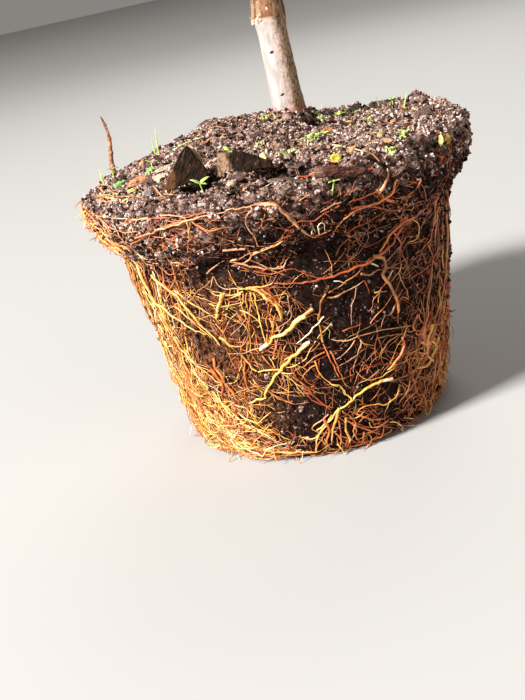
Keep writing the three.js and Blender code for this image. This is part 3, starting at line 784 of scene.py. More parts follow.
# Thinner roots that the photo shows one by one: radius and places, by tint
singleRoots = {
    "gold": [
        (0.42, (-20, 92), (-22, 93), (-23, 96), (-24, 102)),
        (0.4, (-21, 91), (-24, 90), (-28, 90), (-31, 91), (-32, 93)),
        (0.4, (-22, 90), (-24, 89), (-28, 88)), (0.35, (-20, 90), (-21, 87), (-21, 83)),
        (0.35, (-21, 90), (-22, 86), (-24, 84)), (0.4, (-15, 88), (-14, 85), (-15, 83)),
        (0.75, (-34, 69), (-32, 68), (-31, 65), (-29, 64)), (0.95, (-28, 91), (-31, 84), (-33, 78)),
        (0.6, (-48, 92), (-40, 86), (-33, 79)), (0.55, (-50, 84), (-43, 76), (-38, 68)),
        (0.35, (-15, 76), (-14, 73), (-15, 69), (-16, 66)),
        (0.45, (-3, 52), (-2, 45), (1, 39), (4, 36), (5, 31)), (0.35, (33, 85), (32, 82), (28, 79)),
        (0.4, (21, 77), (24, 76), (26, 75)), (0.4, (23, 76), (22, 73), (22, 71), (21, 69)),
        (0.35, (22, 48), (21, 46), (20, 43)), (0.4, (14, 56), (15, 54), (19, 51)),
        (0.4, (-13, 55), (-10, 57), (-7, 57)),
        (0.55, (-50, 23), (-45, 18), (-37, 18), (-31, 20), (-26, 17)), (0.55, (-1, 23), (-5, 18), (-8, 13)),
        (0.6, (-15, 108), (-11, 110), (-8, 111), (-5, 113)), (0.5, (-28, 130), (-29, 125), (-30, 120)),
        (0.5, (38, 104), (42, 100), (41, 94), (37, 93)), (0.7, (-58, 99), (-46, 88), (-39, 73), (-35, 65)),
        (0.7, (-56, 25), (-44, 16), (-31, 8), (-18, 3)), (0.6, (6, 16), (7, 11), (3, 5)),
        (0.55, (-84, 131), (-80, 126), (-77, 120), (-73, 112), (-70, 106)),
        (0.5, (-96, 124), (-90, 117), (-84, 108)), (0.45, (-72, 128), (-66, 124), (-60, 123), (-54, 126)),
        (0.8, (-78, 117), (-73, 116), (-68, 113), (-64, 109), (-62, 103)),
        (0.7, (-90, 130), (-86, 127), (-82, 125), (-77, 126), (-73, 124)),
        (0.75, (2, 26), (0, 20), (-2, 14), (-3, 8)), (0.7, (4, 20), (3, 13), (4, 7), (2, 2)),
        (0.6, (-3, 19), (-7, 14), (-9, 8), (-10, 3)), (0.9, (50, 46), (46, 40), (45, 33), (49, 27)),
        (0.8, (40, 42), (45, 38), (50, 37), (54, 30)), (0.8, (56, 36), (50, 31), (43, 28), (37, 30)),
    ],
    "yellow": [
        (0.45, (-18, 89), (-18, 81), (-18, 73), (-18, 64)), (0.35, (-19, 90), (-19, 87), (-19, 84)),
        (0.4, (-24, 82), (-21, 80), (-19, 77), (-18, 74)), (0.4, (-15, 49), (-13, 48), (-11, 48)),
        (0.45, (-17, 52), (-17, 54), (-18, 58)), (0.6, (-52, 50), (-45, 37), (-37, 24), (-26, 15)),
        (0.45, (-90, 127), (-86, 121), (-82, 113), (-79, 107)),
        (0.5, (-80, 122), (-74, 115), (-69, 108), (-66, 102)),
    ],
    "pale": [
        (0.5, (3, 72), (1, 70), (-2, 67), (-5, 64), (-8, 62)), (1.0, (-17, 64.6), (-19, 63.2), (-20.4, 62)),
        (0.8, (-3.4, 62), (-5, 61), (-7, 58.6)), (0.74, (24.6, 31), (21, 31.8), (17, 31.6)),
        (0.4, (29, 84), (27, 81), (25, 78)), (0.5, (21, 91), (24, 88)), (0.4, (8, 88), (10, 87), (12, 85)),
        (0.34, (5, 113), (5, 117), (5.8, 118.4), (6.6, 117), (6.6, 113)),
        (0.3, (3, 114), (3.6, 117), (4, 114.5)),
    ],
    "tan": [
        (0.8, (22.5, 124), (24, 127), (25.3, 130), (26, 133)),
        (0.34, (-21, 92), (-24, 93), (-27, 93), (-29, 95), (-30, 99)),
        (0.38, (-30, 99), (-31, 97), (-32, 94)),
        (0.4, (-25, 82), (-24, 75), (-23, 72), (-24, 68), (-27, 64), (-30, 64), (-32, 66)),
        (0.34, (-25, 81), (-28, 78), (-31, 73), (-33, 70)), (0.32, (-17, 71), (-15, 70), (-12, 70)),
        (0.34, (-20, 63), (-23, 62), (-28, 60), (-34, 60)), (0.35, (6, 80), (10, 81), (14, 82), (18, 84)),
        (0.36, (15, 82), (14, 77), (12, 71), (11, 65)),
        (0.4, (4, 60), (8, 58), (13, 58), (19, 58), (24, 57), (30, 55), (36, 53)),
        (0.35, (32, 81), (33, 76), (35, 70), (35, 67)), (0.35, (28, 67), (26, 64), (24, 64)),
        (0.35, (24, 66), (23, 62), (22, 58)), (0.36, (20, 38), (16, 36), (10, 35)),
        (0.36, (12, 57), (9, 53), (4, 50)), (0.35, (14, 55), (12, 49), (10, 43), (10, 40)),
        (0.36, (15, 51), (9, 48), (4, 46)), (0.5, (-29, 16), (-25, 13), (-19, 8), (-15, 4)),
        (0.45, (-30, 14), (-26, 10), (-22, 6), (-18, 3)), (0.45, (-6, 12), (-6, 8), (-4, 1)),
        (0.45, (-14, 15), (-13, 10), (-12, 8)), (0.5, (-2, 24), (-6, 21), (-9, 18), (-5, 14), (0, 14)),
        (0.6, (-22, 113), (-16, 112), (-15, 108), (-17, 105), (-22, 104)),
        (0.5, (-16, 106), (-13, 102), (-10, 99), (-7, 100), (-6, 97)),
        (0.5, (-32, 101), (-27, 105), (-24, 107)),
        (0.5, (-11, 132), (-11, 130), (-13, 125), (-12, 118), (-12, 112)),
        (0.5, (-35, 133), (-30, 132), (-28, 130)),
        (0.85, (-9, 132), (-5, 131), (-3, 127), (-1, 121), (2, 114)), (0.45, (12, 125), (9, 125), (6, 123)),
        (0.55, (-46, 133), (-50, 128), (-54, 120)),
        (0.45, (-70, 133), (-62, 131), (-56, 127), (-50, 126), (-44, 127)),
        (0.45, (-66, 118), (-58, 112), (-50, 110), (-44, 112)),
    ],
    "orange": [
        (0.4, (-25, 80), (-23, 76), (-21, 72), (-21, 64), (-20, 56)),
        (0.4, (-35, 79), (-36, 75), (-35, 71), (-34, 69)), (0.36, (-17, 63), (-14, 60), (-10, 58)),
        (0.5, (1, 59), (2, 53), (3, 47), (4, 41)), (0.45, (1, 55), (-4, 53), (-7, 50)),
        (0.4, (-3, 50), (-6, 48), (-9, 44)), (0.45, (-21, 40), (-18, 35), (-13, 32)),
        (0.8, (-41, 57), (-41, 52), (-39, 49), (-39, 44)),
        (0.55, (-28, 56), (-29, 49), (-29, 42), (-27, 40)), (0.5, (29, 68), (32, 69), (35, 67)),
        (0.7, (30, 50), (31, 46), (29, 42), (26, 39), (23, 36)), (0.5, (3, 55), (4, 49), (5, 41), (6, 35)),
        (0.6, (39, 57), (36, 53), (37, 49), (40, 46), (45, 46)),
        (0.6, (39, 57), (42, 51), (47, 46), (49, 49)), (0.55, (1, 20), (1, 11), (-1, 1)),
        (0.9, (-43, 52), (-40, 44), (-42, 36)), (0.6, (-15, 91), (-12, 86), (-10.6, 80), (-10.4, 75)),
        (0.7, (-38, 44), (-36, 37), (-35, 31)),
        (0.5, (-27, 130), (-26, 128), (-23, 124), (-19, 124), (-18, 120)),
        (0.55, (-28, 130), (-35, 128), (-44, 123), (-50, 120), (-58, 119)),
        (0.5, (2, 114), (4, 112), (8, 114)), (0.5, (23, 125), (25, 120), (29, 116), (31, 115)),
        (0.8, (41, 105), (36, 104), (30, 102), (27, 98), (24, 94)), (0.5, (30, 102), (33, 96), (33, 90)),
        (0.6, (4, 18), (9, 12), (13, 8), (18, 3)), (0.65, (10, 9), (9, 3), (7, 1)),
        (0.45, (-88, 132), (-83, 124), (-78, 117), (-76, 110)),
        (1.1, (-70, 120), (-66, 116), (-62, 117), (-58, 114)),
        (0.9, (-74, 112), (-69, 108), (-66, 109), (-62, 112)),
        (0.9, (46, 52), (42, 45), (44, 38), (40, 32)), (0.8, (52, 42), (47, 36), (42, 35), (38, 38)),
        (0.7, (-4, 22), (-3, 15), (-5, 9), (-4, 4)), (0.6, (3, 24), (7, 17), (6, 10), (8, 4)),
        (0.55, (6, 22), (11, 17), (16, 13), (22, 12)),
    ],
    "rust": [
        (0.5, (-16, 100), (-13, 98), (-10, 97), (-5, 98), (-2, 96), (2, 92), (6, 90)),
        (0.35, (-17, 82), (-15, 78), (-13, 74), (-12, 70)),
        (0.35, (-24, 67), (-22, 65), (-18, 64), (-12, 63), (-5, 61), (0, 59)),
        (0.55, (-9, 38), (-6, 35), (-3, 30)), (0.5, (-12, 47), (-9, 43), (-7, 39), (-6, 34)),
        (0.5, (-28, 60), (-26, 55), (-24, 51)), (0.4, (8, 63), (11, 64), (15, 64)),
        (0.45, (29, 67), (29, 64), (29, 60), (29, 57)), (0.35, (18, 84), (19, 80), (19, 77)),
        (0.4, (21, 56), (19, 51), (19, 46), (19, 43)), (0.4, (21, 52), (22, 48), (26, 44), (33, 40)),
        (0.36, (21, 41), (17, 41), (14, 41), (11, 39), (9, 35)),
        (0.5, (-8, 36), (-6, 32), (-3, 29), (0, 27)), (0.5, (-9, 41), (-7, 37), (-4, 31), (-1, 26)),
        (0.55, (23, 125), (18, 124), (15, 124), (13, 123)),
        (0.5, (20.6, 135), (22.4, 134.4), (23.6, 132), (24.9, 129.8)),
        (0.45, (11, 124), (7, 122), (4, 120), (1, 121), (-3, 119)),
        (0.6, (14, 121), (18, 120), (23, 117), (28, 113), (31, 114), (33, 118), (35, 124)),
        (0.45, (35, 124), (39, 118), (42, 108), (43, 104)),
        (0.4, (17, 108), (18, 102), (20, 99), (25, 100), (28, 101)), (0.4, (15, 106), (12, 103), (10, 99)),
        (0.4, (33, 96), (34, 88), (36, 80), (36, 74)), (0.5, (8, 15), (12, 11), (19, 8)),
    ],
    "amber": [
        (1.0, (0, 77), (-3, 75), (-5, 73), (-8, 71)),
        (0.45, (-7, 71), (-4, 73), (-1, 74), (1, 74), (2, 71)),
        (0.6, (1, 60), (1, 65), (1, 71), (2, 75), (3, 80), (5, 83)), (0.5, (5, 81), (8, 80), (11, 82)),
        (0.4, (0, 60), (-3, 57), (-5, 57)), (0.4, (6, 83), (10, 85), (15, 88), (21, 94)),
        (0.45, (20, 54), (26, 53), (32, 51)),
        (1.0, (22, 94), (26, 91), (26, 87), (25, 83), (27, 78), (29, 70), (29, 63)),
        (0.65, (17, 88), (20, 86), (23, 87), (25, 86)), (0.4, (26, 86), (30, 86), (33, 86), (37, 87)),
        (0.4, (1, 41), (5, 40), (10, 40)), (0.55, (24, 30), (29, 29), (35, 29), (40, 30), (47, 31)),
        (0.55, (25, 22), (31, 20), (38, 23), (46, 21)), (0.45, (-22, 41), (-18, 36), (-13, 32), (-8, 32)),
        (0.45, (7, 103), (8, 97), (8, 92)), (0.5, (25, 88), (31, 92), (36, 96), (40, 95)),
        (0.7, (63, 95), (62, 73), (57, 50), (50, 35)), (0.55, (50, 81), (47, 65), (42, 47), (37, 37)),
    ],
}
for number, (tint, roots) in enumerate(singleRoots.items()):
    for n, (radius, *places) in enumerate(roots):
        slim = mix(0.8, 1, min(max((radius - 0.5) / 0.3, 0), 1))  # the thinnest a fifth slimmer
        seed = 500 + number * 50 + n
        layRoot(tint, places, radius * slim, tip=0.6, lift=0.85, wobble=0.45, seed=seed)

# Bands of thin roots laid by rule. Headings: 0 up, 90 to the right, 180 down.
# In the order of the keys: ranges for angle, height, heading, length and radius, how much the
# heading sways, the chance of a kink, side roots each, lift, bow, and the share of each tint
bandKeys = ("count", "angle", "height", "heading", "length", "radius", "sway", "kink", "sprouts", "lift",
            "bow", "tints")
# The left bands lean to yellow and gold and the right ones to rust: partly the roots' own colours, partly
# painted light on the left and painted shade on the right
rootBands = {
    "left edge": (
        280, (-100, -48), (34, 106), (170, 196), (28, 84), (0.15, 0.42), 8, 0.08, 0.4, (-0.3, 0.7), 1.4,
        {"gold": 7, "yellow": 10, "orange": 5, "pale": 2, "tan": 1, "rust": 2},
    ),
    "left foot": (
        260, (-78, -30), (3, 36), (95, 165), (14, 42), (0.15, 0.44), 16, 0.12, 0.5, (0.0, 1.4), 4.0,
        {"gold": 6, "yellow": 4, "orange": 6, "pale": 2, "tan": 3, "rust": 3},
    ),
    "left middle": (
        170, (-54, -10), (30, 98), (110, 215), (14, 46), (0.14, 0.34), 9, 0.08, 0.8, (-0.2, 0.8), 0,
        {"gold": 5, "orange": 5, "yellow": 2, "tan": 4, "rust": 3},
    ),
    "centre": (
        110, (-12, 48), (20, 110), (20, 200), (14, 46), (0.13, 0.28), 8, 0.1, 1.0, (0.0, 0.8), 0,
        {"orange": 7, "rust": 6, "amber": 2, "tan": 2},
    ),
    "middle foot": (
        44, (-24, 16), (2, 26), (100, 170), (8, 26), (0.18, 0.45), 20, 0.15, 0.8, (0.0, 1.0), 3.0,
        {"orange": 5, "gold": 3, "rust": 3, "yellow": 1},
    ),
    "right edge": (
        180, (50, 100), (34, 122), (168, 192), (24, 86), (0.15, 0.4), 10, 0.12, 0.5, (-0.5, 0.5), 1.0,
        {"orange": 6, "rust": 8, "amber": 3, "gold": 2},
    ),
    "right foot": (
        180, (24, 90), (5, 44), (30, 110), (12, 44), (0.15, 0.44), 18, 0.12, 0.6, (-0.2, 1.2), 2.6,
        {"amber": 4, "gold": 6, "orange": 6, "rust": 3},
    ),
    "collar": (
        150, (-44, 40), (98, 131), (60, 130), (8, 30), (0.14, 0.34), 20, 0.2, 0.9, (-0.3, 0.7), 0,
        {"tan": 4, "rust": 7, "orange": 6},
    ),
    "left collar": (
        110, (-100, -38), (100, 133), (50, 140), (8, 32), (0.15, 0.36), 22, 0.2, 0.9, (0.1, 1.1), 1.5,
        {"tan": 6, "gold": 3, "orange": 5, "rust": 3},
    ),
    "back": (
        440, (98, 262), (30, 116), (160, 200), (24, 84), (0.18, 0.48), 9, 0.08, 0.5, (-0.1, 1.0), 2.0,
        {"gold": 4, "orange": 6, "amber": 4, "yellow": 2, "rust": 2},
    ),
    "back foot": (
        280, (86, 290), (4, 40), (50, 150), (14, 42), (0.2, 0.5), 17, 0.1, 0.5, (0.0, 1.5), 4.0,
        {"gold": 5, "amber": 4, "orange": 4, "yellow": 2},
    ),
    "back collar": (
        120, (40, 264), (98, 131), (60, 130), (8, 30), (0.16, 0.42), 22, 0.2, 0.9, (-0.3, 0.7), 0,
        {"tan": 6, "rust": 4, "orange": 3},
    ),
}
thinRoots = {
    "seed": 100,
    "stride": 3.2,  # mm between its knots
    "perDegree": 1.42,  # mm round the wall
    "highest": 132,
    "floorFrom": 5,  # under this height it turns along the foot
    "kink": (25, 60),  # degrees
    "upward": 0.2,  # the share that grow the other way
    "stopsInBare": 0.7,  # the chance of it at each step
    "sprout": {"turn": (30, 80), "knots": (2, 5), "stride": 2.2, "radius": 0.62},
}
# patches where bare compost shows: angles and heights
bare = ((-22, -3, 15, 35), (5, 22, 66, 88), (-46, -35, 54, 72), (-37, -25, 95, 111), (-3, 11, 99, 110))


def inBare(angle, height):
    return any(a < angle < b and c < height < d for a, b, c, d in bare)


def walk(angle, height, heading, count, step, rule, rng):
    # a course of (angle, height) places that drifts off its heading, with a sharp turn now and then
    places = [(angle, height)]
    for _ in range(count):
        heading += rng.gauss(0, rule["sway"])
        if rng.random() < rule["kink"]:
            heading += rng.choice((-1, 1)) * rng.uniform(*thinRoots["kink"])
        if height < thinRoots["floorFrom"] and math.cos(math.radians(heading)) < 0:
            heading = mix(heading, 90 if heading % 360 < 180 else 270, 0.7)
        height += math.cos(math.radians(heading)) * step
        height = min(max(height, 0.8 + rng.random()), thinRoots["highest"])
        angle += math.sin(math.radians(heading)) * step / thinRoots["perDegree"]
        if inBare(angle, height) and len(places) > 2 and rng.random() < thinRoots["stopsInBare"]:
            break
        places.append((angle, height))
    return places


def sprout(places, rule, rng):
    # a short side root that leaves the course at one of its places
    side = thinRoots["sprout"]
    k = rng.randrange(1, len(places) - 1)
    (angle, height), (nextAngle, nextHeight) = places[k:k + 2]
    across = (nextAngle - angle) * thinRoots["perDegree"]
    heading = math.degrees(math.atan2(across, nextHeight - height))
    heading += rng.choice((-1, 1)) * rng.uniform(*side["turn"])
    return walk(angle, height, heading, rng.randint(*side["knots"]), side["stride"], rule, rng)


for number, row in enumerate(rootBands.values()):
    rule = dict(zip(bandKeys, row))
    rng = random.Random(thinRoots["seed"] + number)
    tints = list(rule["tints"])
    for n in range(rule["count"]):
        tint = rng.choices(tints, rule["tints"].values())[0]
        radius = mix(*rule["radius"], rng.random() ** 2)
        lift = rng.uniform(*rule["lift"])
        heading = rng.uniform(*rule["heading"]) + (180 if rng.random() < thinRoots["upward"] else 0)
        count = max(3, round(rng.uniform(*rule["length"]) / thinRoots["stride"]))
        start = rng.uniform(*rule["angle"]), rng.uniform(*rule["height"])
        if inBare(*start):
            continue
        places = walk(*start, heading, count, thinRoots["stride"], rule, rng)
        bow = rule["bow"] * rng.random() ** 3
        seed = number * 1000 + n
        layRoot(tint, places, radius, tip=0.5, lift=lift, wobble=0.5, seed=seed, bow=bow)
        radius *= thinRoots["sprout"]["radius"]
        for _ in range(int(rule["sprouts"] + rng.random())):
            layRoot(tint, sprout(places, rule, rng), radius, tip=0.5, lift=lift, wobble=0.3, seed=seed)

# Loose ends that stand out of the foot, of two tangles and of the lip: how many, angles, heights
# and lengths, how far they point outwards, and how much they droop
fringes = {
    "foot": (190, (-180, 180), (1.5, 10), (4, 10), 0.35, 1.2),
    "right tangle": (9, (84, 92), (34, 46), (5, 10), 0.5, 0.2),
    "right foot": (16, (50, 86), (6, 22), (5, 10), 0.4, 0.4),
    "left lip": (70, (-112, -66), (108, 131), (3, 9), 0.7, 1.0),
}
looseEnds = {
    "radius": (0.22, 0.5), "tip": 0.45, "step": 1.1, "overFloor": 0.15,
    "tints": {"gold": 5, "orange": 5, "amber": 3, "yellow": 2, "pale": 1}, "seed": 40,
}


def looseEnd(angles, heights, lengths, outwards, droop, rng):
    angle = rng.uniform(*angles)
    height = rng.uniform(*heights)
    radius = mix(*looseEnds["radius"], rng.random() ** 2)
    lowest = (radius + looseEnds["overFloor"]) * mm
    place = Vector(onWall([angle], [height], 0.2)[0])
    out = Vector((place.x, place.y, 0)).normalized()
    side = out.cross(Vector((0, 0, 1)))
    way = out * rng.uniform(0.1, outwards * 1.6) + side * rng.uniform(-1, 1)
    way = (way + Vector((0, 0, rng.uniform(-0.9, 0.3)))).normalized()
    turn = Matrix.Rotation(rng.gauss(0, 0.2), 3, out)
    points = []
    count = max(5, round(rng.uniform(*lengths) / looseEnds["step"]))
    for _ in range(count):
        points.append(place.copy())
        way = turn @ way
        way -= out * 0.04
        way.z -= droop * 0.06
        way.normalize()
        place = place + way * looseEnds["step"] * mm
        if place.z < lowest:
            place.z = lowest
            way.z = abs(way.z) * 0.2
    thick = [radius * mix(1, looseEnds["tip"], i / (count - 1)) * mm for i in range(count)]
    return np.array(points), thick


for number, (count, *rule) in enumerate(fringes.values()):
    rng = random.Random(looseEnds["seed"] + number)
    for _ in range(count):
        tint = rng.choices(list(looseEnds["tints"]), looseEnds["tints"].values())[0]
        rootLines[tint].append(looseEnd(*rule, rng))

thickFrom = 0.52  # mm, the radius from which a root is made rounder
for tint, (base, shade) in rootTints.items():
    thick = [root for root in rootLines[tint] if max(root[1]) > thickFrom * mm]
    thin = [root for root in rootLines[tint] if max(root[1]) <= thickFrom * mm]
    paint = rootPaint("root_" + tint, base, shade)
    if thick:
        addPiece("roots_%s_thick" % tint, strands("thick", thick, 2), paint, replacedRoots[tint])
    addPiece("roots_%s_thin" % tint, strands("thin", thin, 0), paint)
    print("roots", tint, len(thick), "thick", len(thin), "thin")


# Litter on the top

def woodGrain(at):
    along = Vector((at.x * 0.16 + at.z * 0.1, at.y * 1.1, at.z * 0.8 - at.x * 0.3))
    return 0.3 * noise.noise(along * 0.7) + 0.3 * noise.noise(along * 1.9) + 0.25 * noise.noise(at * 0.3)


def chipBark(name, base, shade, lit, edge, lean):
    # dark bark with its grain leaning by so many degrees, that turns to the lit colour left of x = edge
    paint = Paint(name, Specular_IOR_Level=0.12)
    turn = (0, math.radians(lean), 0)
    grain = paint.cloud(1.1, (0.14, 1, 1), 6.0, 0.7, turn)
    colour = paint.blend(paint.spread(grain, 0.42, 0.56), hexColour(base), hexColour(shade))
    frays = paint.spread(paint.cloud(1.6, (0.2, 1, 1), 5.0, 0.6, turn), 0.6, 0.68) * 0.5
    colour = paint.blend(frays, colour, hexColour("74502f"))
    side = paint.axis("X") + (paint.cloud(3.5, detail=4.0) - 0.5) * (9 * mm)
    streaks = paint.spread(grain, 0.46, 0.6) * 0.8
    lit = paint.blend(streaks, hexColour(lit), hexColour(base))
    colour = paint.blend(paint.spread(side, (edge + 1.5) * mm, (edge - 1.5) * mm), colour, lit)
    return paint.finish(colour, 0.65 + grain * 0.35, grain, 0.9, 1.0)


chipPaints = {
    "chip_folded": chipBark("bark_folded", "2a180b", "0b0502", "5e3e24", -47, 62),
    "chip_upright": chipBark("bark_upright", "281708", "090402", "8c7058", -21.5, 84),
    "chip_flat": chipBark("bark_flat", "5a382b", "28140d", "8a6858", 15, 12),
}
chipVoxel = 0.42
for node, paint in chipPaints.items():
    addPiece("bark_" + node, pushedOut(evenCopy(node, chipVoxel), woodGrain), paint, [node])

# A split of pale wood that leans behind the folded chip
plank = {"place": (-37.4, -42, 148.4), "size": (5.6, 1.4, 9.5), "lean": -27, "turn": -12}


def makePlank():
    split = bmesh.new()
    bmesh.ops.create_cube(split, size=1)
    bmesh.ops.subdivide_edges(split, edges=split.edges[:], cuts=5, use_grid_fill=True)
    for vert in split.verts:
        fray = 0.12 * noise.noise(Vector((vert.co.x * 7, vert.co.y * 5, 2)))
        vert.co.z *= 1 + (fray + 0.1 * vert.co.x) * (1 if vert.co.z > 0 else 0)
        vert.co = Vector([c * s for c, s in zip(vert.co, plank["size"])]) * mm
    for angle, way in ((plank["lean"], "Y"), (plank["turn"], "Z")):
        bmesh.ops.rotate(split, verts=split.verts, matrix=Matrix.Rotation(math.radians(angle), 3, way))
    bmesh.ops.translate(split, verts=split.verts, vec=Vector(plank["place"]) * mm)
    mesh = bpy.data.meshes.new("plank")
    split.to_mesh(mesh)
    split.free()
    return mesh


plankPaint = plainPaint("split_wood", "ccaa8a", "97745a", 1.0, 0.6, (1, 1, 0.2), 0.4)
addPiece("split_wood", makePlank(), plankPaint)

flakes = {"seed": 11, "dark": 110, "tan": 46, "length": (0.8, 2.8), "reach": 92, "shapes": 4, "fromStem": 10}
# larger flakes in their places: x, y, height over the soil, half length, half width, turn
placedFlakes = {
    "dark": [(34, -88, 0.8, 4.5, 1.8, -20), (3, -92, 0.6, 3.6, 1.4, -10),
             (38, -73, 1.4, 3.4, 2.2, 60), (30, -68, 1.0, 3.4, 2.2, -20), (78, -4, 1.6, 5.5, 2.6, 20),
             (-20, -66, 0.8, 3.6, 2.4, 30), (6, -55, 0.8, 3.2, 2.0, -40), (-62, -26, 0.8, 3.4, 2.2, 10),
             (-30, 44, 1.0, 5.0, 2.8, 50), (16, 60, 1.0, 6.0, 3.0, -15), (50, 44, 1.0, 4.4, 2.4, 70)],
    "tan": [(-24, -36, 0.8, 3.6, 2.0, 20), (39, -30, 0.8, 3.0, 1.4, 50), (58, -20, 0.8, 3.4, 1.4, 75),
            (-52, 30, 0.8, 4.0, 1.8, -20)],
}


def onDisc(rng, reach):
    # a place spread evenly over a disc
    out = reach * math.sqrt(rng.random())
    turn = rng.uniform(0, 2 * math.pi)
    return out * math.sin(turn), -out * math.cos(turn)


def flakeShapes():
    shapes = []
    for n in range(flakes["shapes"]):
        shape = bmesh.new()
        bmesh.ops.create_cube(shape, size=2)
        bmesh.ops.subdivide_edges(shape, edges=shape.edges[:], cuts=1)
        for vert in shape.verts:
            vert.co.x *= 1 + 0.35 * (chance(n * 57 + vert.index) - 0.5)
            vert.co.y *= 0.5 + 0.3 * chance(n * 91 + vert.index)
            vert.co.z = vert.co.z * 0.14 + 0.12 * vert.co.x ** 2 * (chance(n) - 0.4)
        shapes.append(shape)
    return shapes


def scatterFlakes(count, rng):
    spots = []
    for n in range(count):
        x, y = onDisc(rng, flakes["reach"])
        if math.hypot(x - soil["heap"]["place"][0], y - soil["heap"]["place"][1]) < flakes["fromStem"]:
            continue
        place, normal = onTop(x, y)
        tip = Vector((rng.gauss(0, 0.5), rng.gauss(0, 0.5), 0))
        size = mix(*flakes["length"], rng.random() ** 2) * mm
        turned = facing(normal + tip, (rng.gauss(0, 1), rng.gauss(0, 1), 0.1))
        spots.append((n % flakes["shapes"], turned * size, np.array(place + normal * 0.4 * mm)))
    return spots


def placedFlake(n, x, y, up, length, width, turn):
    place = onTop(x, y)[0]
    along = (math.cos(math.radians(turn)), math.sin(math.radians(turn)), 0)
    lean = Vector((chance(n) - 0.5, -0.5 * chance(n + 6), 1.2))
    turned = facing(lean, along) * np.array([length, width * 1.6, 3.0]) * mm
    return n % flakes["shapes"], turned, np.array(place + Vector((0, 0, up * mm)))


rng = random.Random(flakes["seed"])
flakeTemplates = flakeShapes()
tanPaint = plainPaint("dry_scrap", "b3865c", "7c5236", 2.0, 0.65)
darkPaint = plainPaint("dark_scrap", "5b4036", "2e1d16", 2.0, 0.7, depth=0.3)
for kind, paint in (("dark", darkPaint), ("tan", tanPaint)):
    spots = scatterFlakes(flakes[kind], rng)
    spots += [placedFlake(n, *flake) for n, flake in enumerate(placedFlakes[kind])]
    addPiece("flakes_" + kind, joinedCopies("flakes_" + kind, flakeTemplates, spots), paint)

# Short fibres over the top, and a few long straws
fibres = {
    "seed": 21, "count": 420, "length": (4, 15), "radius": (0.1, 0.26), "reach": 88, "step": 1.6, "edge": 93,
}


def fibre(x, y, way, length, radius, rng, bow=0.12):
    # wanders over the top from x, y in mm; way in radians
    points = []
    for _ in range(max(3, round(length / fibres["step"]))):
        place = onTop(x, y)[0]
        points.append(place + Vector((0, 0, (radius + rng.uniform(0.1, 0.5)) * mm)))
        way += rng.gauss(0, bow)
        x += fibres["step"] * math.cos(way)
        y += fibres["step"] * math.sin(way)
        if math.hypot(x, y) > fibres["edge"]:
            break
    points = np.array(points)
    if len(points) > 2:
        points[:, 2] = eased(points[:, 2], 3)
    return points, [radius * mm] * len(points)


rng = random.Random(fibres["seed"])
fibreLines = []
for _ in range(fibres["count"]):
    x, y = onDisc(rng, fibres["reach"])
    way = rng.uniform(0, 6.3)
    laid = fibre(x, y, way, rng.uniform(*fibres["length"]), rng.uniform(*fibres["radius"]), rng)
    if len(laid[0]) > 2:
        fibreLines.append(laid)
# x, y, way, length, radius and bow, then a straw that lies over the hollows: places and radii in mm
straws = [
    (26, -22, -0.5, 26, 0.24, 0.05), (30, -60, 0.4, 22, 0.24, 0.06), (-13, -92.6, 0.0, 9, 0.3, 0.3),
    (-12, -92, 0.3, 8, 0.26, 0.4), (-10, -93, 0.5, 6, 0.3, 0.5),
]
longStraw = {
    "places": ((21, -32, 139.6), (27, -42, 139.2), (32, -58, 139.4), (35.4, -79, 140.2)),
    "radii": (0.34, 0.36, 0.32, 0.2),
}
strawLines = [fibre(*straw, rng, bow) for *straw, bow in straws]
strawLines.append((np.array(longStraw["places"]) * mm, [radius * mm for radius in longStraw["radii"]]))
addPiece("fibres", strands("fibres", fibreLines, 0), tanPaint)

# Roots that lie over the rim, by tint: radius and x, y places
rimRoots = {
    "tan": [
        (0.55, (-58, -36), (-56, -50), (-52, -66), (-48, -80)), (0.4, (-50, -48), (-52, -56), (-52, -66)),
        (0.5, (-88, 6), (-82, -12), (-77, -26), (-72, -38)),
        (0.4, (-84, -22), (-76, -34), (-68, -44), (-60, -52)),
        (0.5, (-86, -30), (-82, -38), (-76, -48), (-70, -56)), (0.45, (-88, 12), (-81, 2), (-79, -12)),
        (0.4, (18, -72), (22, -78), (24, -86)), (0.5, (33, -84), (36, -84), (40, -86)),
        (0.45, (10, 88), (18, 84), (28, 82)),
    ],
    "gold": [(0.36, (-88, -14), (-83, -28), (-78, -38), (-72, -48))],
    "yellow": [(0.3, (-84, -26), (-80, -34), (-76, -42))],
    "rust": [(0.5, (2, -85), (9, -87), (16, -91), (22, -93)), (0.4, (4, -90), (12, -90), (19, -93))],
    "orange": [(0.45, (-64, 60), (-72, 48), (-80, 38))],
}


def rimRoot(radius, *places):
    knots = [Vector((x, y, 0)) for x, y in places]
    points = []
    for a, b in zip(knots, knots[1:]):
        for t in (0, 0.25, 0.5, 0.75):
            spot = a.lerp(b, t)
            sway = noise.noise(spot / 5) * 1.6
            place = onTop(spot.x + sway, spot.y + sway)[0]
            points.append(place + Vector((0, 0, (radius + 0.7) * mm)))
    points = np.array(points)
    points = np.stack([eased(points[:, k], 2) for k in range(3)], 1)
    return points, [radius * mix(1, 0.6, i / (len(points) - 1)) * mm for i in range(len(points))]


for tint, roots in rimRoots.items():
    mesh = strands("rim", [rimRoot(*root) for root in roots], 1)
    addPiece("rim_roots_" + tint, mesh, bpy.data.materials["root_" + tint])
strawPaint = plainPaint("straw", "d8c49a", "b39a6c", 4.0, 0.55)
addPiece("straws", strands("straws", strawLines, 1), strawPaint)
print("litter laid")

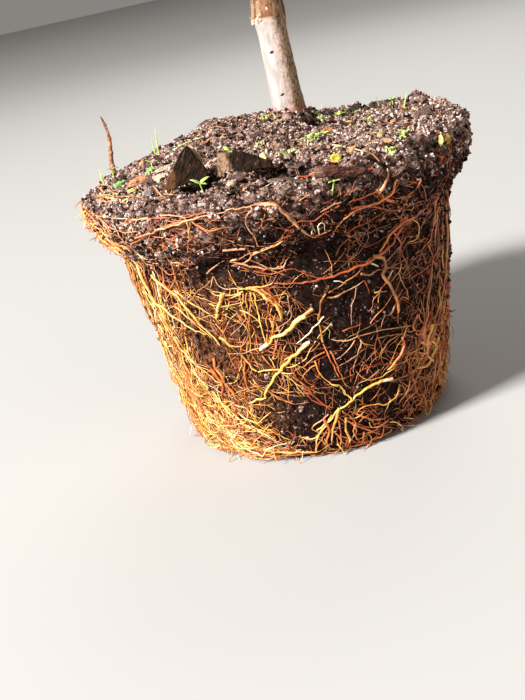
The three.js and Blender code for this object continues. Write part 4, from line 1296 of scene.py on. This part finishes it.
# Seedlings: x, y, leaves, leaf length and height
seedlings = [
    (-35.8, -70.4, 3, 5.4, 4.6), (-20.2, -31, 4, 4.6, 3.0), (-80, 16, 2, 4.0, 6.0), (-59, 1, 2, 4.0, 3.4),
    (19, -30, 5, 4.4, 3.2), (24.4, -27, 4, 4.0, 2.6), (15.4, -31.5, 3, 4.2, 2.8), (38.5, 21.8, 4, 4.0, 2.6),
    (43.3, 34, 3, 4.2, 2.6), (54.6, -61, 4, 3.6, 1.6), (57.4, -56, 3, 3.2, 1.4), (44.9, -82, 4, 3.0, 1.2),
    (16.6, -94, 3, 3.6, 3.8), (-30, 55, 4, 4.2, 3.0), (20, 66, 3, 4.2, 3.0),
    (66, 20, 3, 4.0, 3.0), (48, -10, 3, 3.0, 1.4),
]


def leafShape():
    # a narrow seed leaf along +X, cupped and bent down
    leaf = bmesh.new()
    bmesh.ops.create_grid(leaf, x_segments=5, y_segments=2, size=1)
    for vert in leaf.verts:
        along = (vert.co.x + 1) / 2
        width = 0.2 * math.sin(math.pi * (0.1 + 0.86 * along)) + 0.02
        arch = 0.22 * along - 0.34 * along ** 2
        vert.co = Vector((along, vert.co.y * width, arch + 0.08 * abs(vert.co.y)))
    bmesh.ops.solidify(leaf, geom=leaf.faces[:], thickness=0.03)
    bmesh.ops.recalc_face_normals(leaf, faces=leaf.faces)
    return leaf


leafSpots = []
leafStems = []
seedlingSeed = 5
rng = random.Random(seedlingSeed)
for x, y, leaves, length, high in seedlings:
    place = onTop(x, y)[0]
    tall = Vector((rng.gauss(0, 0.6), rng.gauss(0, 0.6), high)) * mm
    start = rng.uniform(0, 360)
    leafStems.append((np.array([place - tall * 0.4, place + tall * 0.5, place + tall]), [0.3 * mm] * 3))
    for n in range(leaves):
        turn = Matrix.Rotation(math.radians(start + n * 360 / leaves + rng.gauss(0, 14)), 3, "Z")
        lean = Matrix.Rotation(math.radians(rng.uniform(-38, -8)), 3, "Y")
        size = length * rng.uniform(0.8, 1.15) * mm
        leafSpots.append((0, np.array(turn @ lean) * size, np.array(place + tall * 0.96)))
leafPaint = plainPaint("seed_leaf", "93b544", "bfce72", 2.5, 0.5)
leafMesh = smooth(joinedCopies("leaves", [leafShape()], leafSpots))
addPiece("seedling_leaves", leafMesh, leafPaint)
addPiece("seedling_stems", strands("stems", leafStems, 1), leafPaint)

# Green blades: x, y, height and lean, and two that lie down: x, y, way, length and radius.
# Then patches of pale moss: x, y, width
blades = [
    (-55.6, 23, 15, 0.02), (-57.4, 27, 9, -0.1), (-85, 10, 9, -0.16), (-86, 13, 6, 0.1),
    (34, 70, 8, 0.2), (62, 40, 6, -0.2), (-8, 78, 7, 0.1), (70, 14, 8, 0.3),
]
lyingBlades = [(-48, 12, 0.15, 18, 0.3), (-44, 15, -0.2, 12, 0.24)]
moss = [
    (1, 12, 5.5), (-6, -22, 3.5), (4, -42, 3.5), (8, -38, 3), (27, -45, 3), (-77, -27, 3.5), (-69, -42, 3),
    (28, 17, 3.5), (47, 33, 4), (54.9, -60, 3), (45.5, -82, 2.6), (49, -9, 2.6), (-60, -6, 4),
    (-32, 60, 5), (8, 70, 4), (-50, -8, 3),
]
mossCrumbs = {"count": 26, "size": (0.35, 0.85)}  # in each patch


def blade(x, y, tall, lean):
    place = onTop(x, y)[0]
    tip = place + Vector((tall * lean, 0.1 * tall, tall)) * mm
    shares = (-0.1, 0.25, 0.5, 0.75, 1)
    points = [place.lerp(tip, s) + Vector((0.08 * tall * s * s * mm, 0, 0)) for s in shares]
    return np.array(points), [radius * mm for radius in (0.34, 0.4, 0.34, 0.24, 0.06)]


mossSpots = []
for x, y, width in moss:
    for _ in range(mossCrumbs["count"]):
        place, normal = onTop(rng.gauss(x, width / 2.4), rng.gauss(y, width / 2.4))
        size = [rng.uniform(*mossCrumbs["size"]) * mm for _ in range(3)]
        which = rng.randrange(crumbs["shapes"])
        mossSpots.append((which, randomTurn(rng, size), np.array(place + normal * 0.5 * mm)))
bladeLines = [blade(*spot) for spot in blades] + [fibre(*spot, rng, 0.1) for spot in lyingBlades]
addPiece("grass_blades", strands("blades", bladeLines, 1), leafPaint)
mossPaint = plainPaint("moss", "b9bd86", "8c9a50", 2.0, 0.8)
addPiece("moss_crumbs", joinedCopies("moss", crumbTemplates, mossSpots), mossPaint)

# Leaf scraps by tint: two colours, and for each scrap x, y, height over the soil, half length, half
# width, turn, rise of the long way, and how far the flat side faces the camera
scraps = {
    "yellow": ("dccb4c", "b09c34", (22.2, -75, 2.0, 2.6, 3.0, 10, 0, 66),
               (-68.6, -39.4, 0.6, 2.2, 1.2, 10, 0, 40), (-20, 62, 1.2, 2.0, 1.8, 30, 10, 30)),
    "cream_leaf": ("e6dc92", "c2b664", (-7, -41.6, 1.2, 3.4, 2.4, 0, 74, 80),
                   (69.8, -66.4, 0.6, 2.4, 1.5, 10, 80, 70)),
    "amber": ("cfa445", "a07a2c", (74, -59.4, 0.6, 2.5, 2.4, 40, 60, 60),
              (38.3, -11, 1.4, 3.0, 2.2, 160, 10, 46)),
    "red": ("cc4e2a", "8c2f18", (67.3, -68, 0.4, 2.3, 1.9, -30, 50, 60),
            (68.6, -64.4, 1.0, 1.9, 1.4, 10, 40, 60)),
    "ochre": ("b39c6c", "84703f", (47.4, -47, 1.4, 8.0, 2.2, 74, 5, 12), (10, 55, 0.8, 4.0, 2.0, 30, 0, 20)),
    "brown": ("b9743e", "7e4724", (26.9, -15, 1.6, 3.4, 2.0, 15, 4, 36),
              (77.6, -38, 1.6, 3.0, 2.0, 100, 40, 46), (58, 34, 0.8, 3.6, 2.0, 70, 0, 20)),
    "bronze": ("cf9468", "965a36", (-66.4, -11.4, 2.0, 5.8, 3.2, 28, 8, 46),
               (-70, -13, 1.4, 3.2, 1.8, 10, 20, 60)),
    "fawn": ("c9a892", "9a7862", (-56.7, -16.4, 1.9, 4.4, 3.6, -8, 14, 50),
             (-30.4, -29.6, 1.2, 4.2, 1.9, 24, 20, 50), (4, -46, 0.8, 2.0, 1.8, 40, 0, 30)),
    "cream": ("cdbca4", "a4927a", (-53.9, -10.4, 1.7, 4.8, 1.4, 14, 9, 60),
              (-23.4, -76, 0.8, 2.4, 2.6, 40, 20, 50)),
    "slate": ("a3948e", "7c6f6b", (-61.3, -44, 1.7, 3.2, 3.0, 42, 12, 50),
              (-38.6, -85.4, 1.2, 5.8, 1.5, -24, 0, 34)),
    "blush": ("c0a29a", "957a72", (-62.7, -19, 1.7, 3.4, 2.2, 12, 14, 50)),
    "umber": ("876e64", "523f37", (-1, -94, 0.0, 4.2, 2.2, 36, 20, 40), (-6, -89, 0.2, 3.2, 2.0, -10, 0, 20)),
    "green": ("55a044", "93cc74", (-76.3, -6.4, 1.2, 3.9, 1.6, 33, 8, 46),
              (-60.4, -5, 1.6, 1.8, 1.2, 20, 30, 60)),
    "lime": (
        "9cba48", "c0cc5c", (-65.8, -42, 1.1, 1.8, 1.3, 20, 0, 50), (-71, -43, 0.9, 1.5, 1.1, 20, 0, 50),
    ),
}


def scrapShape(cup, seed):
    # a torn scrap: an uneven outline with a corner at one end, cupped or bent the other way
    disc = bmesh.new()
    bmesh.ops.create_circle(disc, cap_ends=True, cap_tris=True, segments=14, radius=1)
    bmesh.ops.subdivide_edges(disc, edges=disc.edges[:], cuts=1)
    for vert in disc.verts:
        away = vert.co.length
        turn = math.atan2(vert.co.y, vert.co.x)
        torn = 0.3 * noise.noise((2.2 * math.cos(turn), 2.2 * math.sin(turn), seed))
        torn += 0.2 * (chance(vert.index + seed) - 0.5)
        vert.co *= 0.9 + torn * away + 0.2 * max(math.cos(turn), 0) ** 6
        vert.co.y *= 0.78
        crease = 0.1 * noise.noise((vert.co.x * 2, vert.co.y * 2, seed + 5))
        vert.co.z = cup * away ** 2 - 0.1 * vert.co.x + crease
    bmesh.ops.solidify(disc, geom=disc.faces[:], thickness=0.07)
    bmesh.ops.recalc_face_normals(disc, faces=disc.faces)
    return disc


scrapTemplates = [scrapShape(cup, seed) for cup, seed in ((0.22, 1), (0.02, 2), (-0.16, 3))]
for kind, (colour, shade, *places) in scraps.items():
    spots = []
    for x, y, up, long, wide, turn, rise, face in places:
        place = onTop(x, y)[0]
        tilts = ((turn, "Z"), (-rise, "Y"), (face, "X"))
        turns = [np.array(Matrix.Rotation(math.radians(angle), 3, way)) for angle, way in tilts]
        turned = turns[0] @ turns[1] @ turns[2] * np.array([long, wide, min(long, wide)])
        which = int(3 * chance(x + y))
        spots.append((which, turned * mm, np.array(place + Vector((0, 0, up * mm)))))
    paint = plainPaint("scrap_" + kind, colour, shade, 2.0, 0.55, depth=0.4)
    mesh = smooth(joinedCopies("scraps_" + kind, scrapTemplates, spots))
    addPiece("scraps_" + kind, mesh, paint)
print("seedlings and scraps set")


# Stem and shoots: the rule is the part's own, in mm
stem = {
    "foot": (14, 20, 146), "top": 800, "radiusFoot": 7.8, "radiusTop": 2.3, "drift": (-15, -12), "sway": 5,
    "graft": 199, "swelling": 1.3, "graftSpread": 6, "flare": 1.2, "flareHeight": 7,
    "fineTo": 216, "fineStep": 0.75, "step": 2.4, "ring": 28,
}


def stemMiddle(z):
    x, y, low = stem["foot"]
    up = (z - low) / (stem["top"] - low)
    sway = stem["sway"] * math.sin(up * math.pi * 2.5) * up
    return Vector((x + stem["drift"][0] * up + sway, y + stem["drift"][1] * up - sway * 0.6, z))


def stemRadius(z):
    low = stem["foot"][2]
    up = (z - low) / (stem["top"] - low)
    body = mix(stem["radiusFoot"], stem["radiusTop"], up ** 0.9)
    flare = stem["flare"] * math.exp(-(z - low) / stem["flareHeight"])
    graft = stem["swelling"] * math.exp(-(((z - stem["graft"]) / stem["graftSpread"]) ** 2))
    return body + flare + graft


# The bark's lumps: height, how many round the stem, and length along it, in mm
barkLumps = ((0.28, 1.6, 17), (0.16, 5, 5), (0.09, 14, 2.4))
barkScales = {"height": 0.35, "round": 9, "length": 3.2, "turn": 0.3, "over": 0.3}  # on its right
graftSeam = {"below": 3, "slant": 1.6, "step": 0.3, "knot": 0.9, "knotHeight": 1.8, "knotTurn": 1.3}


def barkRelief(at):
    # mm outwards, for a place on the stem in mm
    middle = stemMiddle(at.z)
    out = Vector((at.x - middle.x, at.y - middle.y, 0))
    turn = math.atan2(out.x, -out.y)
    ring = Vector((math.cos(turn), math.sin(turn), 0))
    height = 0
    for tall, around, length in barkLumps:
        height += tall * noise.noise(ring * around + Vector((0, 0, at.z / length)))
    side = max(math.sin(turn - barkScales["turn"]), 0) * (1 if at.z < 200 else barkScales["over"])
    scale = noise.noise(ring * barkScales["round"] + Vector((0, 0, at.z / barkScales["length"])))
    height += side * barkScales["height"] * scale
    seam = stem["graft"] - graftSeam["below"] + graftSeam["slant"] * math.cos(turn)
    above = min(max((at.z - seam) / 0.8, 0), 1)
    left = max(math.cos(turn + graftSeam["knotTurn"]), 0) ** 3
    knot = math.exp(-(((at.z - stem["graft"] + 1) / graftSeam["knotHeight"]) ** 2))
    height += knot * left * graftSeam["knot"]
    height -= graftSeam["step"] * above * math.exp(-max(at.z - seam, 0) / 14)
    return height * (1 if at.z < 260 else 0.6)


def stemHeights():
    heights = list(np.arange(stem["foot"][2], stem["fineTo"], stem["fineStep"]))
    return heights + list(np.arange(stem["fineTo"], stem["top"], stem["step"])) + [stem["top"]]


def barkPaint():
    # pale on the left, pink in the middle and brown and scaly on the right below the graft: partly the
    # bark's own colours, partly painted light on the left and painted shade on the right
    paint = Paint("bark", Specular_IOR_Level=0.3)
    up = paint.axis("Z")
    streaks = paint.cloud(3.2, (1, 1, 0.35), 5.0, 0.62)
    flecks = paint.cloud(1.1, (1, 1, 0.6), 4.0, 0.65)
    # across the stem by x: paler on the left as painted light, browner on the right as painted shade, over
    # the bark's own colours
    side = paint.axis("X") + (streaks - 0.5) * (5 * mm)
    pale = paint.blend(paint.spread(streaks, 0.36, 0.66), hexColour("9a8e88"), hexColour("b2aca6"))
    pink = paint.blend(paint.spread(flecks, 0.4, 0.66), hexColour("c4aa9a"), hexColour("927264"))
    stock = paint.blend(paint.spread(side, 11 * mm, 15 * mm) * 0.85, pale, pink)
    brown = paint.blend(paint.spread(flecks, 0.4, 0.6), hexColour("a6896a"), hexColour("593f2a"))
    stock = paint.blend(paint.spread(side, 15 * mm, 17.5 * mm) * 0.9, stock, brown)
    stock = paint.blend(paint.spread(flecks, 0.6, 0.74) * 0.6, stock, hexColour("7b5442"))
    scales = paint.spread(0.156 - up + (flecks - 0.5) * 0.012, 0, 0.006)
    stock = paint.blend(scales * 0.7, stock, hexColour("8a4f38"))
    upper = paint.blend(paint.spread(streaks, 0.42, 0.58), hexColour("8a6c4e"), hexColour("4c3422"))
    upper = paint.blend(paint.spread(up, 0.22, 0.3) * 0.6, upper, hexColour("745a40"))
    upper = paint.blend(paint.spread(flecks, 0.58, 0.7), upper, hexColour("b09270"))
    reddish = paint.spread(side, 8.5 * mm, 10.5 * mm) * paint.spread(side, 15 * mm, 13 * mm)
    upper = paint.blend(reddish * paint.spread(up, 0.23, 0.21) * 0.45, upper, hexColour("7c4426"))
    pores = paint.spread(paint.cells(6.5, (1.6, 1.6, 1.1)), 0.16, 0.1)
    upper = paint.blend(pores * 0.8, upper, hexColour("c8b090"))
    seam = paint.spread(up + (streaks - 0.5) * 0.008, 0.1955, 0.1968)
    colour = paint.blend(seam, stock, upper)
    rim = paint.spread(up + (streaks - 0.5) * 0.008, 0.1948, 0.1956) * paint.spread(up, 0.1978, 0.1966)
    colour = paint.blend(rim * paint.spread(side, 17 * mm, 13 * mm) * 0.6, colour, hexColour("d8c0ae"))
    roughness = 0.55 + flecks * 0.35
    relief = streaks * 0.7 + flecks * 0.5 + paint.cells(2.4, (1, 1, 0.4)) * 0.3
    return paint.finish(colour, roughness, relief, 0.45, 0.8)


bark = barkPaint()
heights = stemHeights()
stemPoints = np.array([stemMiddle(z) * mm for z in heights])
stemRadii = [stemRadius(z) * mm for z in heights]
stemMesh = pushedOut(strands("stem", [(stemPoints, stemRadii)], stem["ring"]), barkRelief)
addPiece("stem_bark", stemMesh, bark, ["trunk"])
print("stem", len(stemMesh.polygons), "faces")

# The callus: small pale lumps along the graft, most of them on its left
callus = {"seed": 3, "count": 30, "turn": (-96, -30), "size": (0.5, 1.2), "below": 2.4}


def onStem(turn, z, lift=0.0):
    # the way out of the stem at a turn from -Y towards +X, and the place there
    out = Vector((math.sin(turn), -math.cos(turn), 0))
    return out, (stemMiddle(z) + out * (stemRadius(z) + lift)) * mm


def makeCallus():
    rng = random.Random(callus["seed"])
    spots = []
    for _ in range(callus["count"]):
        turn = math.radians(mix(*callus["turn"], rng.random() ** 1.5))
        z = stem["graft"] - callus["below"] + 1.2 * math.cos(turn) + rng.gauss(0, 1.0 - 0.4 * math.cos(turn))
        size = mix(*callus["size"], rng.random() ** 1.6)
        which = rng.randrange(crumbs["shapes"])
        stretch = [size * mm * rng.uniform(0.7, 1.2) for _ in range(3)]
        spots.append((which, randomTurn(rng, stretch), onStem(turn, z)[1]))
    return smooth(joinedCopies("callus", crumbTemplates, spots))


callusPaint = plainPaint("callus", "cfc2a8", "8f7c62", 0.9, 0.7, depth=0.4)
addPiece("graft_callus", makeCallus(), callusPaint)

# Two dark bud scars low on the stem: turn from -Y towards +X and height
scars = {"places": ((-24, 180.6), (-17, 159.6)), "width": 0.95, "size": (1.2, 0.6, 0.45), "sunk": 0.05}


def makeScars():
    eye = bmesh.new()
    bmesh.ops.create_uvsphere(eye, u_segments=12, v_segments=8, radius=1)
    spots = []
    for degrees, z in scars["places"]:
        turn = math.radians(degrees)
        out, place = onStem(turn, z, -scars["sunk"])
        turned = facing(out, (math.cos(turn), math.sin(turn), 0.35))
        spots.append((0, turned * np.array(scars["size"]) * scars["width"] * mm, np.array(place)))
    return smooth(joinedCopies("scars", [eye], spots))


addPiece("bud_scars", makeScars(), plainPaint("scar", "1a100b", "2b1a12", 1.0, 0.7))

# Two numbers in a row are for the lowest and the highest bough; rises and turns are in degrees
boughs = {
    "count": 9, "lowest": 396, "highest": 752, "length": (182, 84), "radius": (3.3, 2.0), "taper": 0.55,
    "rise": (34, 52), "firstTurn": 60, "goldenTurn": 137.5, "ring": 5,
}
twigs = {
    "massLength": (150, 96), "leader": (200, 86, 88, 152), "radius": 0.95, "perMass": 6, "onLeader": 8,
    "rise": 12, "from": 0.16, "to": 0.86, "longest": 0.5, "shortest": 0.2, "forward": 0.68,
    "sideways": 0.74, "lift": 0.35,
}
spurs = {"count": 4, "long": (0.24, 0.1), "radius": 0.55, "forward": 0.75, "sideways": 0.6}


def direction(turn, rise):
    turn, rise = math.radians(turn), math.radians(rise)
    level = math.cos(rise)
    return Vector((level * math.cos(turn), level * math.sin(turn), math.sin(rise)))


class Bow:
    # a quadratic curve between two places in mm, read by its share of length
    steps = 40

    def __init__(self, start, knee, end):
        self.knots = start, knee, end
        places = [self.at(i / self.steps) for i in range(self.steps + 1)]
        self.run = np.concatenate([[0], np.cumsum([(b - a).length for a, b in zip(places, places[1:])])])

    def at(self, t):
        start, knee, end = self.knots
        return start * (1 - t) ** 2 + knee * 2 * t * (1 - t) + end * t ** 2

    def share(self, s):
        return float(np.interp(s * self.run[-1], self.run, np.linspace(0, 1, self.steps + 1)))

    def place(self, s):
        return self.at(self.share(s))

    def along(self, s):
        start, knee, end = self.knots
        t = self.share(s)
        return ((knee - start) * (1 - t) + (end - knee) * t).normalized()

    def length(self):
        return float(self.run[-1])


def shootCurve(start, turn, startRise, endRise, length):
    knee = start + direction(turn, startRise) * length / 2
    return Bow(start, knee, knee + direction(turn, endRise) * length / 2)


def limb(curve, radius, tip, step):
    # places and radii along a curve, down to a share of the radius at its tip
    count = max(3, round(curve.length() / step) + 1)
    shares = [i / (count - 1) for i in range(count)]
    return np.array([curve.place(s) * mm for s in shares]), [radius * mix(1, tip, s) * mm for s in shares]


def boughPlan(n):
    up = n / (boughs["count"] - 1)
    z = mix(boughs["lowest"], boughs["highest"], up) + 12 * (chance(n + 5) - 0.5)
    turn = boughs["firstTurn"] + n * boughs["goldenTurn"] + 14 * (chance(n + 17) - 0.5)
    length = mix(*boughs["length"], up) * (0.92 + 0.16 * chance(n + 41))
    return up, turn, shootCurve(stemMiddle(z), turn, *boughs["rise"], length)


twigLines = []
budSpots = []
bud = {"size": (1.7, 1.5, 3.6), "long": 7}


def addBud(foot, along, size, twist=0.0):
    # a bud that is sunk into the wood for a third of its length
    side = Vector((-along.y, along.x, 0.02))
    turned = facing(along, side) @ np.array(Matrix.Rotation(twist, 3, "Z"))
    place = (foot + along * bud["long"] * size / 6) * mm
    budSpots.append((0, turned * np.array(bud["size"]) * size * mm, np.array(place)))


def addSideBud(curve, share, radius, way, sunk, size):
    # a bud beside a limb: way is 1 or -1
    along = curve.along(share)
    side = Vector((0, 0, 1)).cross(along).normalized() * way
    addBud(curve.place(share) + side * radius * sunk, (along + side * 0.8).normalized(), size)


def growMass(seed, course, radius, count):
    # the part's own twigs, then finer spurs on them inside the same reach
    twigLines.append(limb(course, radius, 0.5, 5))
    tip = course.along(1)
    addBud(course.place(1), tip, 1.15)
    length = course.length()
    for k in range(count):
        share = mix(twigs["from"], twigs["to"], k / (count - 1))
        along = course.along(share)
        start = course.place(share)
        across = Vector((0, 0, 1)).cross(along).normalized()
        turn = math.radians(k * boughs["goldenTurn"] + 90 * chance(seed + k))
        across.rotate(Matrix.Rotation(turn, 3, along))
        out = (along * twigs["forward"] + across * twigs["sideways"]).normalized()
        reach = length * mix(twigs["longest"], twigs["shortest"], share)
        reach *= 0.85 + 0.3 * chance(seed * 3 + k)
        bend = (along + Vector((0, 0, 0.5))).normalized()
        knee = start + out * reach / 2
        twig = Bow(start, knee, knee + out.lerp(bend, twigs["lift"]).normalized() * reach / 2)
        twigLines.append(limb(twig, twigs["radius"], 0.65, 3))
        addBud(twig.place(0.55), (twig.along(0.55) + across * 0.6).normalized(), 0.8)
        addBud(twig.place(1), twig.along(1), 0.95)
        growSpurs(twig, across, seed * 17 + k * 5)
    for n in range(3):
        # buds in twos along the mass's own stem
        for way in (1, -1):
            addSideBud(course, 0.3 + 0.24 * n, radius, way, 0.5, 0.55)


def growSpurs(twig, across, seed):
    # short side shoots of a twig, each with its buds
    reach = twig.length()
    for n in range(spurs["count"]):
        share = 0.2 + 0.19 * n + 0.05 * chance(seed + n)
        along = twig.along(share)
        side = along.cross(across).normalized() * (1 if n % 2 else -1)
        way = (along * spurs["forward"] + side * spurs["sideways"] + Vector((0, 0, 0.15))).normalized()
        long = reach * mix(*spurs["long"], share) * (0.7 + 0.5 * chance(seed + n + 50))
        start = twig.place(share)
        knee = start + way * long * 0.5
        spur = Bow(start, knee, knee + way.lerp(along, 0.4).normalized() * long * 0.5)
        twigLines.append(limb(spur, spurs["radius"], 0.7, 2.5))
        addBud(spur.place(1), spur.along(1), 0.62, n)
        addBud(twig.place(min(share + 0.09, 0.95)), (along - side * 0.7).normalized(), 0.5, n)


boughLines = []
for n in range(boughs["count"]):
    up, turn, curve = boughPlan(n)
    radius = mix(*boughs["radius"], up)
    boughLines.append(limb(curve, radius, boughs["taper"], 3))
    rise = math.degrees(math.asin(curve.along(1).z))
    length = mix(*twigs["massLength"], up)
    course = shootCurve(curve.place(1), turn, rise, rise + twigs["rise"], length)
    growMass(n * 13 + 1, course, radius * boughs["taper"], twigs["perMass"])
    for k in range(4):
        # buds on the bough, one side then the other
        addSideBud(curve, 0.3 + 0.18 * k, radius, 1 if k % 2 else -1, 0.55, 0.6)
growMass(211, shootCurve(stemMiddle(stem["top"]), *twigs["leader"]), stem["radiusTop"], twigs["onLeader"])


def shootRelief(at):
    # fine lumps, and low blisters where the bark breathes
    return 0.12 * noise.noise(at / 3) + 0.22 * max(0.25 - noise.voronoi(at / 7)[0][0], 0)


def budShape():
    # an egg with a drawn-out point and ridges for its scales
    egg = bmesh.new()
    bmesh.ops.create_uvsphere(egg, u_segments=8, v_segments=7, radius=1)
    for vert in egg.verts:
        z = vert.co.z
        squeeze = 1 - 0.42 * max(z, 0) ** 1.5
        ridge = 1 + 0.1 * math.sin(z * 9 + math.atan2(vert.co.y, vert.co.x) * 2)
        vert.co.x *= squeeze * ridge
        vert.co.y *= squeeze * ridge
        vert.co.z = z * (1.0 if z > 0 else 0.8)
    return egg


boughNodes = ["bough_%d" % (n + 1) for n in range(boughs["count"])]
massNodes = ["twigs_%d" % (n + 1) for n in range(boughs["count"])] + ["twigs_leader"]
boughMesh = pushedOut(strands("boughs", boughLines, boughs["ring"]), shootRelief)
addPiece("shoots", boughMesh, bark, boughNodes)
twigPaint = plainPaint("twig_bark", "8a5638", "53301f", 5.0, 0.5, (1, 1, 0.5), 0.15)
addPiece("twigs", strands("twigs", twigLines, 1), twigPaint, massNodes)
budPaint = plainPaint("bud", "6b3a22", "3b1d12", 1.6, 0.45)
addPiece("buds", smooth(joinedCopies("buds", [budShape()], budSpots)), budPaint)
print("crown:", len(twigLines), "twigs and", len(budSpots), "buds")

# The dead twig standing in the left edge
deadTwig = {
    "foot": (-79.5, 43, 130), "tip": (-82, 43, 165), "radius": 1.35, "taper": 0.32, "bow": -2.2,
    "knobs": 0.55, "steps": 90,
}


def makeDeadTwig():
    foot, tip = Vector(deadTwig["foot"]), Vector(deadTwig["tip"])
    points, radii = [], []
    for i in range(deadTwig["steps"]):
        share = i / (deadTwig["steps"] - 1)
        bend = deadTwig["bow"] * math.sin(share * 5.4 + 0.5) * (1 - 0.4 * share)
        bow = Vector((bend, noise.noise((share * 5, 5, 1)), 0))
        knob = deadTwig["knobs"] * max(math.sin(share * 30 + 0.6), 0) ** 4
        knob += deadTwig["knobs"] * noise.noise((share * 70, 2, 7))
        points.append((foot.lerp(tip, share) + bow * min(share * 5, 1)) * mm)
        slim = mix(1.0, deadTwig["taper"], share ** 1.5)
        radii.append((deadTwig["radius"] * slim + knob * mix(1, 0.4, share)) * mm)
    return strands("dead", [(np.array(points), radii)], 3)


deadPaint = plainPaint("dead_wood", "b87e56", "5a2e19", 1.6, 0.55, (1, 1, 0.5), 0.6)
addPiece("dead_twig_bark", makeDeadTwig(), deadPaint, ["dead_twig"])
